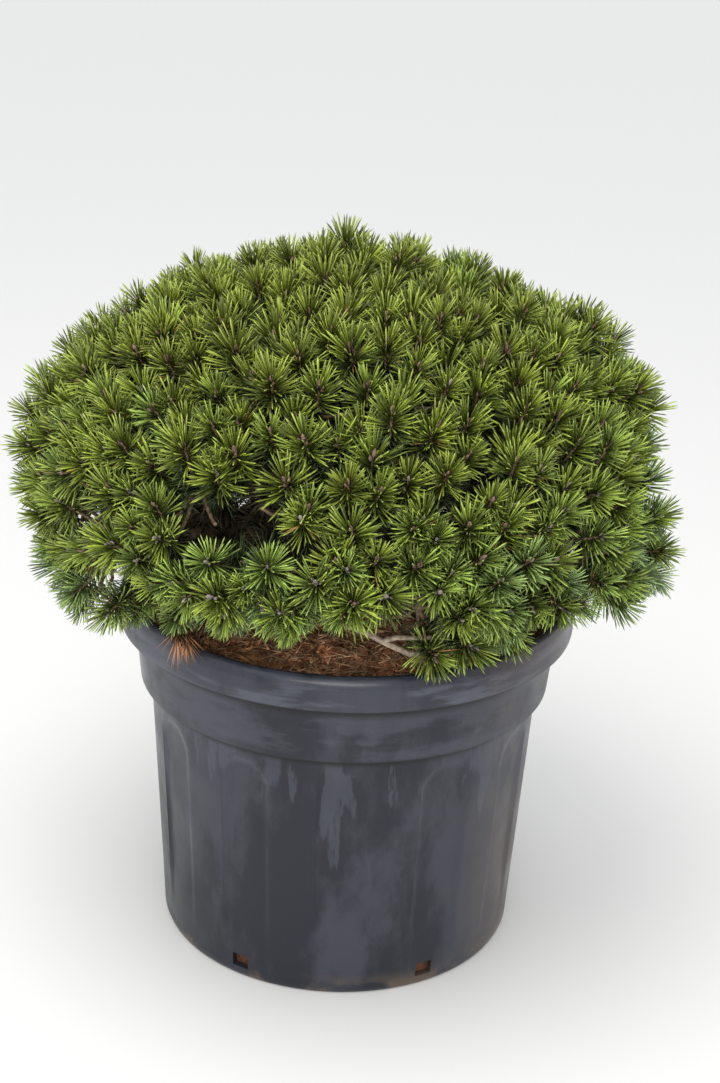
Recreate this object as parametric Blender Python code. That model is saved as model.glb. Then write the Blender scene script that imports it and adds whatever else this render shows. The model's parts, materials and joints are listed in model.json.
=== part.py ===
"""A mugo pine grown as a dense dome in a black plastic nursery pot.

Metres, +Z up.  The origin is the middle of the pot's flat underside, and the
side that the pine is looked at from is -Y.  Azimuths turn from -Y towards +X,
and polar angles come down from +Z at the middle of the dome.
"""

import math
import random

import bpy
import numpy
from mathutils import Vector

# Room left between two pieces that touch
CLEARANCE = 0.0003

# Pot, from its underside up
POT_BASE_RADIUS = 0.2095
POT_FOOT_RADIUS = 0.2130
POT_FOOT_HEIGHT = 0.006
POT_BODY_TOP_RADIUS = 0.2300
POT_BAND_Z = 0.3170
POT_BAND_RADIUS = 0.2422
POT_BAND_TOP_RADIUS = 0.2490
POT_LIP_Z = 0.3900
POT_LIP_RADIUS = 0.2680
POT_TOP_Z = 0.4300
POT_MOUTH_RADIUS = 0.2495
POT_WALL = 0.0035
POT_BAND_WALL = 0.0056
POT_FLOOR = 0.0045
# The rim's round edge: how far its points stand in and down
RIM_SWELL = 0.0005
RIM_SHOULDER = 0.0055
RIM_SHOULDER_DROP = 0.005
RIM_LIP_RISE = 0.002
RIM_MOUTH_DROP = 0.0025

# Shallow upright panels pressed into the pot's body
FLUTE_COUNT = 12
FLUTE_FIRST_EDGE = math.radians(-5.5)
FLUTE_DEPTH = 0.004
FLUTE_EDGE = math.radians(1.1)
FLUTE_TOP_Z = 0.292
FLUTE_FULL_Z = 0.270
FLUTE_LOW_Z = 0.085
FLUTE_FOOT_Z = 0.045

# Drain holes through the wall just above the floor
DRAIN_COUNT = 6
DRAIN_FIRST_AZIMUTH = math.radians(30.0)
DRAIN_WIDTH = 0.021
DRAIN_LOW_Z = 0.012
DRAIN_HIGH_Z = 0.029
DRAIN_CUT_IN = 0.020
DRAIN_CUT_OUT = 0.010

# Root ball that fills the pot
SOIL_EDGE_Z = 0.4040
SOIL_SHOULDER_Z = 0.4150
SOIL_MIDDLE_Z = 0.4200
SOIL_SHOULDER_RADIUS = 0.150
SOIL_FLAT_RADIUS = 0.065
SOIL_NECK_DROP = 0.006
SOIL_SHELF_RISE = 0.008
SOIL_SIDES = 28
# Room for the flats of the pot's inner wall and of the root ball
SOIL_FIT = 0.0019

# Trunk
TRUNK_FOOT_Z = SOIL_MIDDLE_Z + CLEARANCE
TRUNK_FLARE_RADIUS = 0.046
TRUNK_RADIUS = 0.029
TRUNK_TIP_RADIUS = 0.009
TRUNK_LEAN = Vector((-0.010, 0.006, 0.0))
TRUNK_SIDES = 14
TRUNK_RINGS = 8
TRUNK_RINGS_LOW = 1.6
FLARE_LOBES = 5
FLARE_HEIGHT = 0.035
FLARE_TURN = 0.7
# Share of the flare that is left between two of its lobes
FLARE_LEAST = 0.45

# Dome of needle tips: a rounded block about its middle
DOME_MIDDLE = Vector((-0.004, 0.0, 0.549))
DOME_RADIUS = 0.3715
DOME_UP = 0.281
DOME_DOWN_SIDE = 0.290
DOME_DOWN_FRONT = 0.105
DOME_DOWN_BACK = 0.235
DOME_SQUARENESS = 2.236
DOME_LOWEST_POLAR = math.radians(124.0)
# Steps for measuring the dome's slope and its share of surface
DOME_SLOPE_STEP = 0.02
DOME_STRIPS = 400
DOME_STRIP_AZIMUTH = math.radians(45.0)

# Places where the dome swells or is drawn in: azimuth, polar, spread, height
SWELLS = (
    ("top_tuft", math.radians(-150.0), math.radians(9.0), math.radians(9.0), 0.022),
    ("right_top_dip", math.radians(90.0), math.radians(34.0), math.radians(9.0), -0.014),
    ("right_shoulder", math.radians(90.0), math.radians(52.0), math.radians(9.0), 0.024),
    ("right_side", math.radians(90.0), math.radians(67.0), math.radians(6.0), 0.012),
    ("left_shoulder_dip", math.radians(-90.0), math.radians(54.0), math.radians(8.0), -0.010),
    ("left_bulge", math.radians(-90.0), math.radians(76.0), math.radians(13.0), 0.017),
    ("right_waist", math.radians(92.0), math.radians(87.0), math.radians(8.0), -0.024),
    ("right_low_limb", math.radians(84.0), math.radians(99.0), math.radians(8.0), 0.030),
    ("left_low_spray", math.radians(-90.0), math.radians(119.0), math.radians(8.0), 0.026),
    ("right_under", math.radians(90.0), math.radians(110.0), math.radians(7.0), -0.016),
)

# Hollows between the shoots: azimuth, polar, half width, half height
HOLLOWS = (
    ("left_slit", math.radians(-16.0), math.radians(77.0), math.radians(10.0), math.radians(4.5)),
    ("soil_window", math.radians(-30.0), math.radians(99.0), math.radians(7.0), math.radians(7.0)),
)

# Rings of foliage masses: name, count, polar, first azimuth, height of the whorl
RINGS = (
    ("upper", 6, math.radians(37.0), math.radians(12.0), 0.585),
    ("middle", 8, math.radians(63.0), math.radians(6.0), 0.525),
    ("skirt", 10, math.radians(94.0), math.radians(-16.0), 0.462),
)
MASS_INNER_SHARE = 0.62
MASS_GAP = 0.0012

# Boughs
BOUGH_ROOT_RADIUS = 0.0085
BOUGH_TIP_RADIUS = 0.0065
BOUGH_SIDES = 5
BOUGH_RINGS = 5
WHORL_STAGGER = 0.009
BOUGH_SAG = 0.0054
# A bough leaves the trunk almost level and bends into the line of its stem
BOUGH_LEVEL = 0.9
BOUGH_RISE = 0.1
BOUGH_LEAVE_SHARE = 0.40
BOUGH_ARRIVE_SHARE = 0.35
STEM_RADIUS = 0.0052
STEM_TIP_RADIUS = 0.0036
STEM_SIDES = 5
TWIG_RADIUS = 0.0030
TWIG_TIP_RADIUS = 0.0018
TWIG_SIDES = 3
TWIG_ROOT_SHARES = (0.75, 1.0)
TWIG_TESTED_SHARES = (0.4, 0.6, 0.8, 1.0)

# Core of a mass, under its shoots
CORE_DEPTH = 0.048
CORE_MARGIN = 0.004
CORE_THINNEST = 0.008
CORE_UNEVEN = (1.0, 1.12)
CORE_EDGE_SHARE = 0.94
CORE_EDGE_HEIGHT = 0.90
CORE_TOP_SHARE = 0.70
CORE_CORNER_SPACING = math.radians(3.0)
CORE_LOWEST_POLAR = math.radians(106.0)
HOLLOW_DEPTH = 0.040

# Shoots: each is a tuft of needle sprays round a bud
SHOOT_COUNT = 236
SHOOT_DEPTH = 0.033
SHOOT_MARGIN = 0.011
SHOOT_ROOM = 0.004
SHOOT_SHIFTS = 3
SHOOT_UPTURN = 0.22
SPRAY_COUNT = 7
SPRAY_LENGTH = 0.046
SPRAY_SIZES = (0.84, 1.08)
SPRAY_STEP = 0.003
SPRAY_POLAR = math.radians(58.0)
SPRAY_POLAR_SPREAD = math.radians(9.0)
VALLEY_POLAR = math.radians(74.0)
VALLEY_RADIUS = 0.016
VALLEY_SIZES = (0.85, 1.0)
BUD_LENGTH = 0.024
BUD_SIZES = (0.9, 1.15)
SHOOT_HEART = 0.009
TUFT_TAIL = 0.018
GOLDEN_ANGLE = math.pi * (3.0 - math.sqrt(5.0))
FOLIAGE_SEED = 700

# Nothing of the foliage comes lower than this over the pot and its soil
OVER_POT_Z = 0.4345
OVER_POT_RADIUS = 0.2740
SHOOT_OVER_POT = 0.012

POT_COLOUR = (0.022, 0.024, 0.028)
SOIL_COLOUR = (0.115, 0.045, 0.022)
BARK_COLOUR = (0.105, 0.066, 0.045)
NEEDLE_TOP_COLOUR = (0.180, 0.250, 0.040)
NEEDLE_LOW_COLOUR = (0.060, 0.120, 0.035)


def clear_scene():
    for item in list(bpy.data.objects):
        bpy.data.objects.remove(item, do_unlink=True)


def material(name, colour, roughness):
    """A plain finish with the part's own colour."""
    made = bpy.data.materials.new(name)
    made.use_nodes = True
    shader = made.node_tree.nodes["Principled BSDF"]
    shader.inputs["Base Color"].default_value = (*colour, 1.0)
    shader.inputs["Roughness"].default_value = roughness
    shader.inputs["Metallic"].default_value = 0.0
    return made


def new_object(name, vertices, faces, finish=None):
    """A mesh object from its points and faces."""
    mesh = bpy.data.meshes.new(name)
    mesh.from_pydata([tuple(point) for point in vertices], [], faces)
    mesh.update()
    if finish is not None:
        mesh.materials.append(finish)
    item = bpy.data.objects.new(name, mesh)
    bpy.context.scene.collection.objects.link(item)
    return item


def smooth(item, angle=math.radians(40.0)):
    item.data.shade_smooth()
    item.data.set_sharp_from_angle(angle=angle)


def apply_boolean(item, operation, target=None, collection=None):
    """Cut or join item with another object, or with all the objects of a collection."""
    modifier = item.modifiers.new(operation.lower(), "BOOLEAN")
    modifier.operation = operation
    modifier.solver = "EXACT"
    if collection is None:
        modifier.object = target
    else:
        modifier.operand_type = "COLLECTION"
        modifier.collection = collection
    graph = bpy.context.evaluated_depsgraph_get()
    result = bpy.data.meshes.new_from_object(item.evaluated_get(graph))
    item.modifiers.remove(modifier)
    old = item.data
    item.data = result
    bpy.data.meshes.remove(old)


def polar_point(radius, azimuth, z):
    return Vector((radius * math.sin(azimuth), -radius * math.cos(azimuth), z))


def direction(azimuth, polar):
    return polar_point(math.sin(polar), azimuth, math.cos(polar))


def angles(unit):
    """Azimuth and polar angle of a direction."""
    return math.atan2(unit.x, -unit.y), math.acos(max(-1.0, min(1.0, unit.z)))


def ease(value, low, high):
    """Smooth step from 0 at low to 1 at high."""
    share = max(0.0, min(1.0, (value - low) / (high - low)))
    return share * share * (3.0 - 2.0 * share)


def closed_rings(rings, bottom, top):
    """Faces of stacked rings of equal count, closed at both ends by the points bottom and top."""
    sides = len(rings[0])
    vertices = [point for ring in rings for point in ring] + [bottom, top]
    low, high = len(vertices) - 2, len(vertices) - 1
    faces = []
    for step in range(len(rings) - 1):
        for side in range(sides):
            beside = (side + 1) % sides
            a, b = step * sides + side, step * sides + beside
            faces.append((a, b, b + sides, a + sides))
    last = (len(rings) - 1) * sides
    for side in range(sides):
        beside = (side + 1) % sides
        faces.append((low, beside, side))
        faces.append((high, last + side, last + beside))
    return vertices, faces


def tube(path, radii, sides, turn=0.0, arrive=None):
    """Rings of points round a path, counter-clockwise about its direction."""
    rings = []
    across = None
    for step, point in enumerate(path):
        ahead = path[min(step + 1, len(path) - 1)] - path[max(step - 1, 0)]
        if arrive is not None and step == len(path) - 1:
            ahead = arrive.copy()
        ahead.normalize()
        if across is None:
            across = ahead.orthogonal()
        across = (across - ahead * across.dot(ahead)).normalized()
        beside = ahead.cross(across)
        ring = []
        for side in range(sides):
            angle = turn + 2.0 * math.pi * side / sides
            ring.append(point + (across * math.cos(angle) + beside * math.sin(angle)) * radii[step])
        rings.append(ring)
    return closed_rings(rings, path[0], path[-1])


def pot_body_radius(z):
    """Outer radius of the pot's body between its foot and its band."""
    share = (z - POT_FOOT_HEIGHT) / (POT_BAND_Z - POT_FOOT_HEIGHT)
    return POT_FOOT_RADIUS + (POT_BODY_TOP_RADIUS - POT_FOOT_RADIUS) * share


def flute_azimuths():
    """Each edge of a panel is a pair of columns, a slope apart."""
    columns = []
    for edge in range(2 * FLUTE_COUNT):
        azimuth = FLUTE_FIRST_EDGE + math.pi * edge / FLUTE_COUNT
        into_panel = edge % 2 == 0
        columns.append((azimuth - FLUTE_EDGE, not into_panel))
        columns.append((azimuth + FLUTE_EDGE, into_panel))
    return columns


def flute_share(z):
    """How deep the panels are at a height, from 0 to 1."""
    return ease(z, FLUTE_FOOT_Z, FLUTE_LOW_Z) * (1.0 - ease(z, FLUTE_FULL_Z, FLUTE_TOP_Z))


def make_pot(finish):
    """Turned wall with a band, a rolled rim and pressed panels."""
    outer = [
        (POT_BASE_RADIUS, 0.0, 0.0),
        (POT_FOOT_RADIUS, POT_FOOT_HEIGHT, 0.0),
    ]
    for z in (FLUTE_FOOT_Z, FLUTE_LOW_Z, 0.5 * (FLUTE_LOW_Z + FLUTE_FULL_Z), FLUTE_FULL_Z, FLUTE_TOP_Z):
        outer.append((pot_body_radius(z), z, flute_share(z)))
    roll = 0.5 * (POT_TOP_Z - POT_LIP_Z)
    outer += [
        (POT_BODY_TOP_RADIUS, POT_BAND_Z - 0.001, 0.0),
        (POT_BAND_RADIUS, POT_BAND_Z + 0.001, 0.0),
        (POT_BAND_TOP_RADIUS, POT_LIP_Z - 0.004, 0.0),
        (POT_LIP_RADIUS, POT_LIP_Z + RIM_LIP_RISE, 0.0),
        (POT_LIP_RADIUS - RIM_SWELL, POT_LIP_Z + roll, 0.0),
        (POT_LIP_RADIUS - RIM_SHOULDER, POT_TOP_Z - RIM_SHOULDER_DROP, 0.0),
        (0.5 * (POT_LIP_RADIUS + POT_MOUTH_RADIUS), POT_TOP_Z, 0.0),
    ]
    inner = [
        (POT_MOUTH_RADIUS, POT_TOP_Z - RIM_MOUTH_DROP, 0.0),
        (POT_BAND_TOP_RADIUS - POT_BAND_WALL, POT_LIP_Z, 0.0),
        (POT_BAND_RADIUS - POT_BAND_WALL, POT_BAND_Z + SOIL_NECK_DROP, 0.0),
        (POT_BODY_TOP_RADIUS - FLUTE_DEPTH - POT_WALL, POT_BAND_Z - SOIL_NECK_DROP, 0.0),
        (POT_FOOT_RADIUS - FLUTE_DEPTH - POT_WALL, POT_FLOOR, 0.0),
    ]
    columns = flute_azimuths()
    rings = []
    for radius, z, share in outer + inner:
        ring = []
        for azimuth, pressed in columns:
            depth = FLUTE_DEPTH * share if pressed else 0.0
            ring.append(polar_point(radius - depth, azimuth, z))
        rings.append(ring)
    vertices, faces = closed_rings(rings, Vector((0.0, 0.0, 0.0)), Vector((0.0, 0.0, POT_FLOOR)))
    pot = new_object("pot", vertices, faces, finish)
    for number in range(DRAIN_COUNT):
        azimuth = DRAIN_FIRST_AZIMUTH + 2.0 * math.pi * number / DRAIN_COUNT
        cutter = make_drain_cutter(azimuth)
        apply_boolean(pot, "DIFFERENCE", target=cutter)
        bpy.data.objects.remove(cutter, do_unlink=True)
    smooth(pot)


def make_drain_cutter(azimuth):
    """A block that goes through the wall at one azimuth."""
    along = polar_point(1.0, azimuth, 0.0)
    across = Vector((math.cos(azimuth), math.sin(azimuth), 0.0)) * (0.5 * DRAIN_WIDTH)
    corners = []
    for distance in (POT_BASE_RADIUS - DRAIN_CUT_IN, POT_FOOT_RADIUS + DRAIN_CUT_OUT):
        for side, z in ((-1, DRAIN_LOW_Z), (1, DRAIN_LOW_Z), (1, DRAIN_HIGH_Z), (-1, DRAIN_HIGH_Z)):
            corners.append(along * distance + across * side + Vector((0.0, 0.0, z)))
    faces = [(3, 2, 1, 0), (4, 5, 6, 7), (0, 1, 5, 4), (1, 2, 6, 5), (2, 3, 7, 6), (3, 0, 4, 7)]
    return new_object("drain_cutter", corners, faces)


def make_soil(finish):
    """Root ball that fills the pot, mounded to a flat top under the trunk."""
    low_radius = POT_FOOT_RADIUS - FLUTE_DEPTH - POT_WALL - SOIL_FIT
    neck_radius = POT_BODY_TOP_RADIUS - FLUTE_DEPTH - POT_WALL - SOIL_FIT
    edge_radius = POT_BAND_RADIUS - POT_BAND_WALL - SOIL_FIT
    profile = (
        (low_radius, POT_FLOOR + CLEARANCE),
        (neck_radius, POT_BAND_Z - SOIL_NECK_DROP),
        (edge_radius, POT_BAND_Z + SOIL_SHELF_RISE),
        (edge_radius, SOIL_EDGE_Z),
        (SOIL_SHOULDER_RADIUS, SOIL_SHOULDER_Z),
        (SOIL_FLAT_RADIUS, SOIL_MIDDLE_Z),
    )
    rings = []
    for radius, z in profile:
        ring = []
        for side in range(SOIL_SIDES):
            ring.append(polar_point(radius, 2.0 * math.pi * side / SOIL_SIDES, z))
        rings.append(ring)
    bottom = Vector((0.0, 0.0, profile[0][1]))
    top = Vector((0.0, 0.0, SOIL_MIDDLE_Z))
    vertices, faces = closed_rings(rings, bottom, top)
    smooth(new_object("root_ball", vertices, faces, finish))


def trunk_point(z):
    """Middle of the trunk at a height."""
    share = (z - TRUNK_FOOT_Z) / (trunk_tip().z - TRUNK_FOOT_Z)
    foot = Vector((0.0, 0.0, TRUNK_FOOT_Z))
    sway = TRUNK_LEAN * math.sin(math.pi * share)
    return foot.lerp(trunk_tip(), share) + sway


def trunk_tip():
    return DOME_MIDDLE + Vector((0.0, 0.0, MASS_INNER_SHARE * DOME_UP))


def trunk_radius(z):
    share = (z - TRUNK_FOOT_Z) / (trunk_tip().z - TRUNK_FOOT_Z)
    return TRUNK_RADIUS + (TRUNK_TIP_RADIUS - TRUNK_RADIUS) * share


def trunk_mesh(extra):
    """Points and faces of the trunk, grown outward by extra."""
    rings = []
    height = trunk_tip().z - TRUNK_FOOT_Z
    for step in range(TRUNK_RINGS):
        share = step / (TRUNK_RINGS - 1)
        z = TRUNK_FOOT_Z + height * share ** TRUNK_RINGS_LOW
        flare = 1.0 - ease(z, TRUNK_FOOT_Z, TRUNK_FOOT_Z + FLARE_HEIGHT)
        flare *= TRUNK_FLARE_RADIUS - TRUNK_RADIUS
        ring = []
        for side in range(TRUNK_SIDES):
            azimuth = 2.0 * math.pi * side / TRUNK_SIDES
            lobe = 0.5 + 0.5 * math.cos(FLARE_LOBES * azimuth + FLARE_TURN)
            radius = trunk_radius(z) + flare * (FLARE_LEAST + (1.0 - FLARE_LEAST) * lobe)
            point = trunk_point(z)
            ring.append(Vector((point.x, point.y, z)) + polar_point(radius + extra, azimuth, 0.0))
        rings.append(ring)
    bottom = Vector((0.0, 0.0, TRUNK_FOOT_Z))
    return closed_rings(rings, bottom, trunk_tip())


def make_trunk(finish):
    vertices, faces = trunk_mesh(0.0)
    smooth(new_object("trunk", vertices, faces, finish))


def dome_reach(unit):
    """Distance from the dome's middle to its needle tips in a direction."""
    azimuth, polar = angles(unit)
    level = math.hypot(unit.x, unit.y)
    end = DOME_DOWN_FRONT if math.cos(azimuth) > 0.0 else DOME_DOWN_BACK
    down = DOME_DOWN_SIDE + (end - DOME_DOWN_SIDE) * (0.5 + 0.5 * math.cos(2.0 * azimuth))
    height = DOME_UP if unit.z > 0.0 else down
    power = DOME_SQUARENESS
    reach = ((level / DOME_RADIUS) ** power + (abs(unit.z) / height) ** power) ** (-1.0 / power)
    for _, swell_azimuth, swell_polar, spread, rise in SWELLS:
        away = unit.angle(direction(swell_azimuth, swell_polar))
        reach += rise * math.exp(-0.5 * (away / spread) ** 2)
    return reach


def dome_point(unit):
    return DOME_MIDDLE + unit * dome_reach(unit)


def dome_normal(unit):
    """Outward direction of the dome's surface."""
    side = unit.orthogonal().normalized() * DOME_SLOPE_STEP
    other = unit.cross(side)
    along_side = dome_point((unit + side).normalized()) - dome_point((unit - side).normalized())
    along_other = dome_point((unit + other).normalized()) - dome_point((unit - other).normalized())
    return along_side.cross(along_other).normalized()


def in_hollow(unit):
    """Whether a direction from the dome's middle looks into one of its hollows."""
    azimuth, polar = angles(unit)
    for _, hollow_azimuth, hollow_polar, half_width, half_height in HOLLOWS:
        turn = (azimuth - hollow_azimuth + math.pi) % (2.0 * math.pi) - math.pi
        if math.hypot(turn / half_width, (polar - hollow_polar) / half_height) < 1.0:
            return True
    return False


def over_pot(point, extra=0.0):
    """Whether a point is clear of the pot and its soil."""
    level = math.hypot(point.x, point.y)
    return level > OVER_POT_RADIUS + extra or point.z > OVER_POT_Z + extra


def shoot_directions(count):
    """Directions that share the dome's surface evenly, by the golden angle."""
    polars = numpy.linspace(0.0, DOME_LOWEST_POLAR, DOME_STRIPS)
    points = [dome_point(direction(DOME_STRIP_AZIMUTH, polar)) - DOME_MIDDLE for polar in polars]
    levels = numpy.array([math.hypot(point.x, point.y) for point in points])
    heights = numpy.array([point.z for point in points])
    slopes = numpy.hypot(numpy.diff(levels), numpy.diff(heights))
    strips = numpy.concatenate(([0.0], numpy.cumsum(0.5 * (levels[1:] + levels[:-1]) * slopes)))
    made = []
    for number in range(count):
        polar = float(numpy.interp((number + 0.5) / count, strips / strips[-1], polars))
        made.append(direction(number * GOLDEN_ANGLE, polar))
    return made


class Mass:
    """The space that one mass of foliage keeps to: a cone of the dome's outer layer."""

    def __init__(self, name, unit, bough_z):
        self.name = name
        self.unit = unit
        self.bough_z = bough_z
        self.inner = MASS_INNER_SHARE * dome_reach(unit)
        self.walls = []

    def set_neighbours(self, masses):
        self.walls = [(self.unit - other.unit).normalized() for other in masses if other is not self]

    def depth_inside(self, point):
        """Distance from a point to the nearest side of the cone, positive inside."""
        arm = point - DOME_MIDDLE
        return min(arm.dot(wall) for wall in self.walls)

    def holds(self, point, margin):
        arm = point - DOME_MIDDLE
        if arm.dot(self.unit) < self.inner + margin:
            return False
        return self.depth_inside(point) > margin and over_pot(point)

    def foot(self):
        """Where the bough ends and the mass's stem starts."""
        return DOME_MIDDLE + self.unit * self.inner

    def heart(self):
        """Middle of the core."""
        outer = dome_reach(self.unit) - CORE_DEPTH
        return DOME_MIDDLE + self.unit * (0.5 * (self.inner + outer) + CORE_MARGIN)


def make_masses():
    masses = [Mass("foliage_top", direction(0.0, 0.0), 0.0)]
    for ring, count, polar, first, whorl_z in RINGS:
        for number in range(count):
            azimuth = first + 2.0 * math.pi * number / count
            bough_z = whorl_z + WHORL_STAGGER * (1.0 if number % 2 else -1.0)
            masses.append(Mass(f"foliage_{ring}_{number + 1}", direction(azimuth, polar), bough_z))
    for mass in masses:
        mass.set_neighbours(masses)
    return masses


def bough_path(mass):
    """From the middle of the trunk to the foot of the mass, arriving along its stem."""
    start = trunk_point(mass.bough_z)
    start.z = mass.bough_z
    end = mass.foot()
    level = Vector((mass.unit.x, mass.unit.y, 0.0)).normalized()
    span = (end - start).length
    first_way = level * BOUGH_LEVEL + Vector((0.0, 0.0, BOUGH_RISE))
    leave = start + first_way * (BOUGH_LEAVE_SHARE * span) - Vector((0.0, 0.0, BOUGH_SAG))
    arrive = end - mass.unit * (BOUGH_ARRIVE_SHARE * span)
    path = []
    for step in range(BOUGH_RINGS):
        t = step / (BOUGH_RINGS - 1)
        s = 1.0 - t
        path.append(start * s ** 3 + leave * (3 * s * s * t) + arrive * (3 * s * t * t) + end * t ** 3)
    return path


def make_bough(mass, sleeve, finish):
    """One tapering limb, cut clear of the trunk."""
    path = bough_path(mass)
    radii = []
    for step in range(BOUGH_RINGS):
        share = step / (BOUGH_RINGS - 1)
        radii.append(BOUGH_ROOT_RADIUS + (BOUGH_TIP_RADIUS - BOUGH_ROOT_RADIUS) * share)
    vertices, faces = tube(path, radii, BOUGH_SIDES, arrive=mass.unit)
    bough = new_object(mass.name.replace("foliage", "bough"), vertices, faces, finish)
    apply_boolean(bough, "DIFFERENCE", target=sleeve)
    keep_largest(bough)
    smooth(bough)


def cone_corners(mass):
    """Directions of the edges where the sides of a mass's cone meet, in order round its axis."""
    azimuth, _ = angles(mass.unit)
    walls = mass.walls + [direction(azimuth, CORE_LOWEST_POLAR - 0.5 * math.pi)]
    corners = []
    for first in range(len(walls)):
        for second in range(first + 1, len(walls)):
            edge = walls[first].cross(walls[second]).normalized()
            edge = edge if edge.dot(mass.unit) > 0.0 else -edge
            inside = all(edge.dot(wall) > -0.0001 for wall in walls)
            if inside and all(edge.angle(corner) > CORE_CORNER_SPACING for corner in corners):
                corners.append(edge)
    flat = mass.unit.orthogonal().normalized()
    other = mass.unit.cross(flat)
    return sorted(corners, key=lambda corner: math.atan2(corner.dot(other), corner.dot(flat)))


def make_core(mass, rng, finish):
    """A low cushion that fills the mass's cone under its shoots."""
    corners = cone_corners(mass)
    rings = []
    for share, outward in ((CORE_EDGE_SHARE, 0.0), (CORE_EDGE_SHARE, CORE_EDGE_HEIGHT), (CORE_TOP_SHARE, 1.0)):
        ring = []
        for corner in corners:
            unit = mass.unit.lerp(corner, share).normalized()
            depth = CORE_DEPTH + (HOLLOW_DEPTH if in_hollow(unit) else 0.0)
            outer = dome_reach(unit) - depth * rng.uniform(*CORE_UNEVEN)
            inner = (mass.inner + CORE_MARGIN) / unit.dot(mass.unit)
            ring.append(DOME_MIDDLE + unit * (inner + max(outer - inner, CORE_THINNEST) * outward))
        rings.append(ring)
    bottom = mass.foot() + mass.unit * CORE_MARGIN
    top = DOME_MIDDLE + mass.unit * (dome_reach(mass.unit) - CORE_DEPTH)
    vertices, faces = closed_rings(rings, bottom, top)
    return new_object(mass.name, vertices, faces, finish)


def free_length(mass, start, unit, length):
    """Length of a spray that stays in its mass's space, up to the length it wants."""
    reach = 0.0
    while reach + SPRAY_STEP <= length and mass.holds(start + unit * (reach + SPRAY_STEP), 0.5 * MASS_GAP):
        reach += SPRAY_STEP
    return reach


def make_tuft(mass, rng, middle, axis):
    """Sprays of needles round a bud: a closed star about its middle point."""
    across = axis.orthogonal().normalized()
    beside = axis.cross(across)
    turn = rng.uniform(0.0, 2.0 * math.pi)

    def star_unit(angle, polar):
        flat = across * math.cos(turn + angle) + beside * math.sin(turn + angle)
        return axis * math.cos(polar) + flat * math.sin(polar)

    step = 2.0 * math.pi / SPRAY_COUNT
    points = []
    for number in range(SPRAY_COUNT):
        unit = star_unit(number * step, SPRAY_POLAR + rng.uniform(-1.0, 1.0) * SPRAY_POLAR_SPREAD)
        wanted = SPRAY_LENGTH * rng.uniform(*SPRAY_SIZES)
        points.append(middle + unit * max(SHOOT_HEART, free_length(mass, middle, unit, wanted)))
        unit = star_unit((number + 0.5) * step, VALLEY_POLAR)
        valley = VALLEY_RADIUS * rng.uniform(*VALLEY_SIZES)
        points.append(middle + unit * max(SHOOT_HEART, free_length(mass, middle, unit, valley)))
    bud_length = free_length(mass, middle, axis, BUD_LENGTH * rng.uniform(*BUD_SIZES))
    points.append(middle + axis * max(SHOOT_HEART, bud_length))
    points.append(middle - axis * TUFT_TAIL)
    bud, tail = len(points) - 2, len(points) - 1
    faces = []
    for corner in range(2 * SPRAY_COUNT):
        beyond = (corner + 1) % (2 * SPRAY_COUNT)
        faces.append((corner, beyond, bud))
        faces.append((beyond, corner, tail))
    return new_object("tuft", points, faces)


def make_twig(mass, rng, start, end):
    """A three-sided twig, or nothing where it would leave the mass's space."""
    for share in TWIG_TESTED_SHARES:
        if not mass.holds(start.lerp(end, share), 0.5 * MASS_GAP + TWIG_RADIUS):
            return None
    turn = rng.uniform(0.0, 2.0 * math.pi / TWIG_SIDES)
    vertices, faces = tube([start, end], [TWIG_RADIUS, TWIG_TIP_RADIUS], TWIG_SIDES, turn)
    return new_object("twig", vertices, faces)


def shoot_place(mass, unit):
    """Middle and axis of the tuft that reaches the dome in a direction, kept in its mass."""
    axis = (dome_normal(unit) + Vector((0.0, 0.0, SHOOT_UPTURN))).normalized()
    middle = dome_point(unit) - axis * SHOOT_DEPTH
    for _ in range(SHOOT_SHIFTS):
        for wall in mass.walls:
            short = SHOOT_MARGIN - (middle - DOME_MIDDLE).dot(wall)
            if short > 0.0:
                middle += wall * short
    if not over_pot(middle, SHOOT_OVER_POT):
        middle.z = OVER_POT_Z + SHOOT_OVER_POT
    return middle, axis


def keep_largest(item):
    """Drop the loose scraps and the shells of sealed hollows that a cut or a join leaves."""
    mesh = item.data
    parent = list(range(len(mesh.vertices)))

    def find(index):
        while parent[index] != index:
            parent[index] = parent[parent[index]]
            index = parent[index]
        return index

    for edge in mesh.edges:
        a, b = find(edge.vertices[0]), find(edge.vertices[1])
        parent[a] = b
    sizes = {}
    for index in range(len(mesh.vertices)):
        root = find(index)
        sizes[root] = sizes.get(root, 0) + 1
    largest = max(sizes, key=sizes.get)
    if len(sizes) == 1:
        return
    kept = [index for index in range(len(mesh.vertices)) if find(index) == largest]
    place = {old: new for new, old in enumerate(kept)}
    faces = []
    for polygon in mesh.polygons:
        if polygon.vertices[0] in place:
            faces.append([place[index] for index in polygon.vertices])
    clean = bpy.data.meshes.new(mesh.name)
    clean.from_pydata([mesh.vertices[index].co.copy() for index in kept], [], faces)
    clean.update()
    for finish in mesh.materials:
        clean.materials.append(finish)
    item.data = clean
    bpy.data.meshes.remove(mesh)


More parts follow.
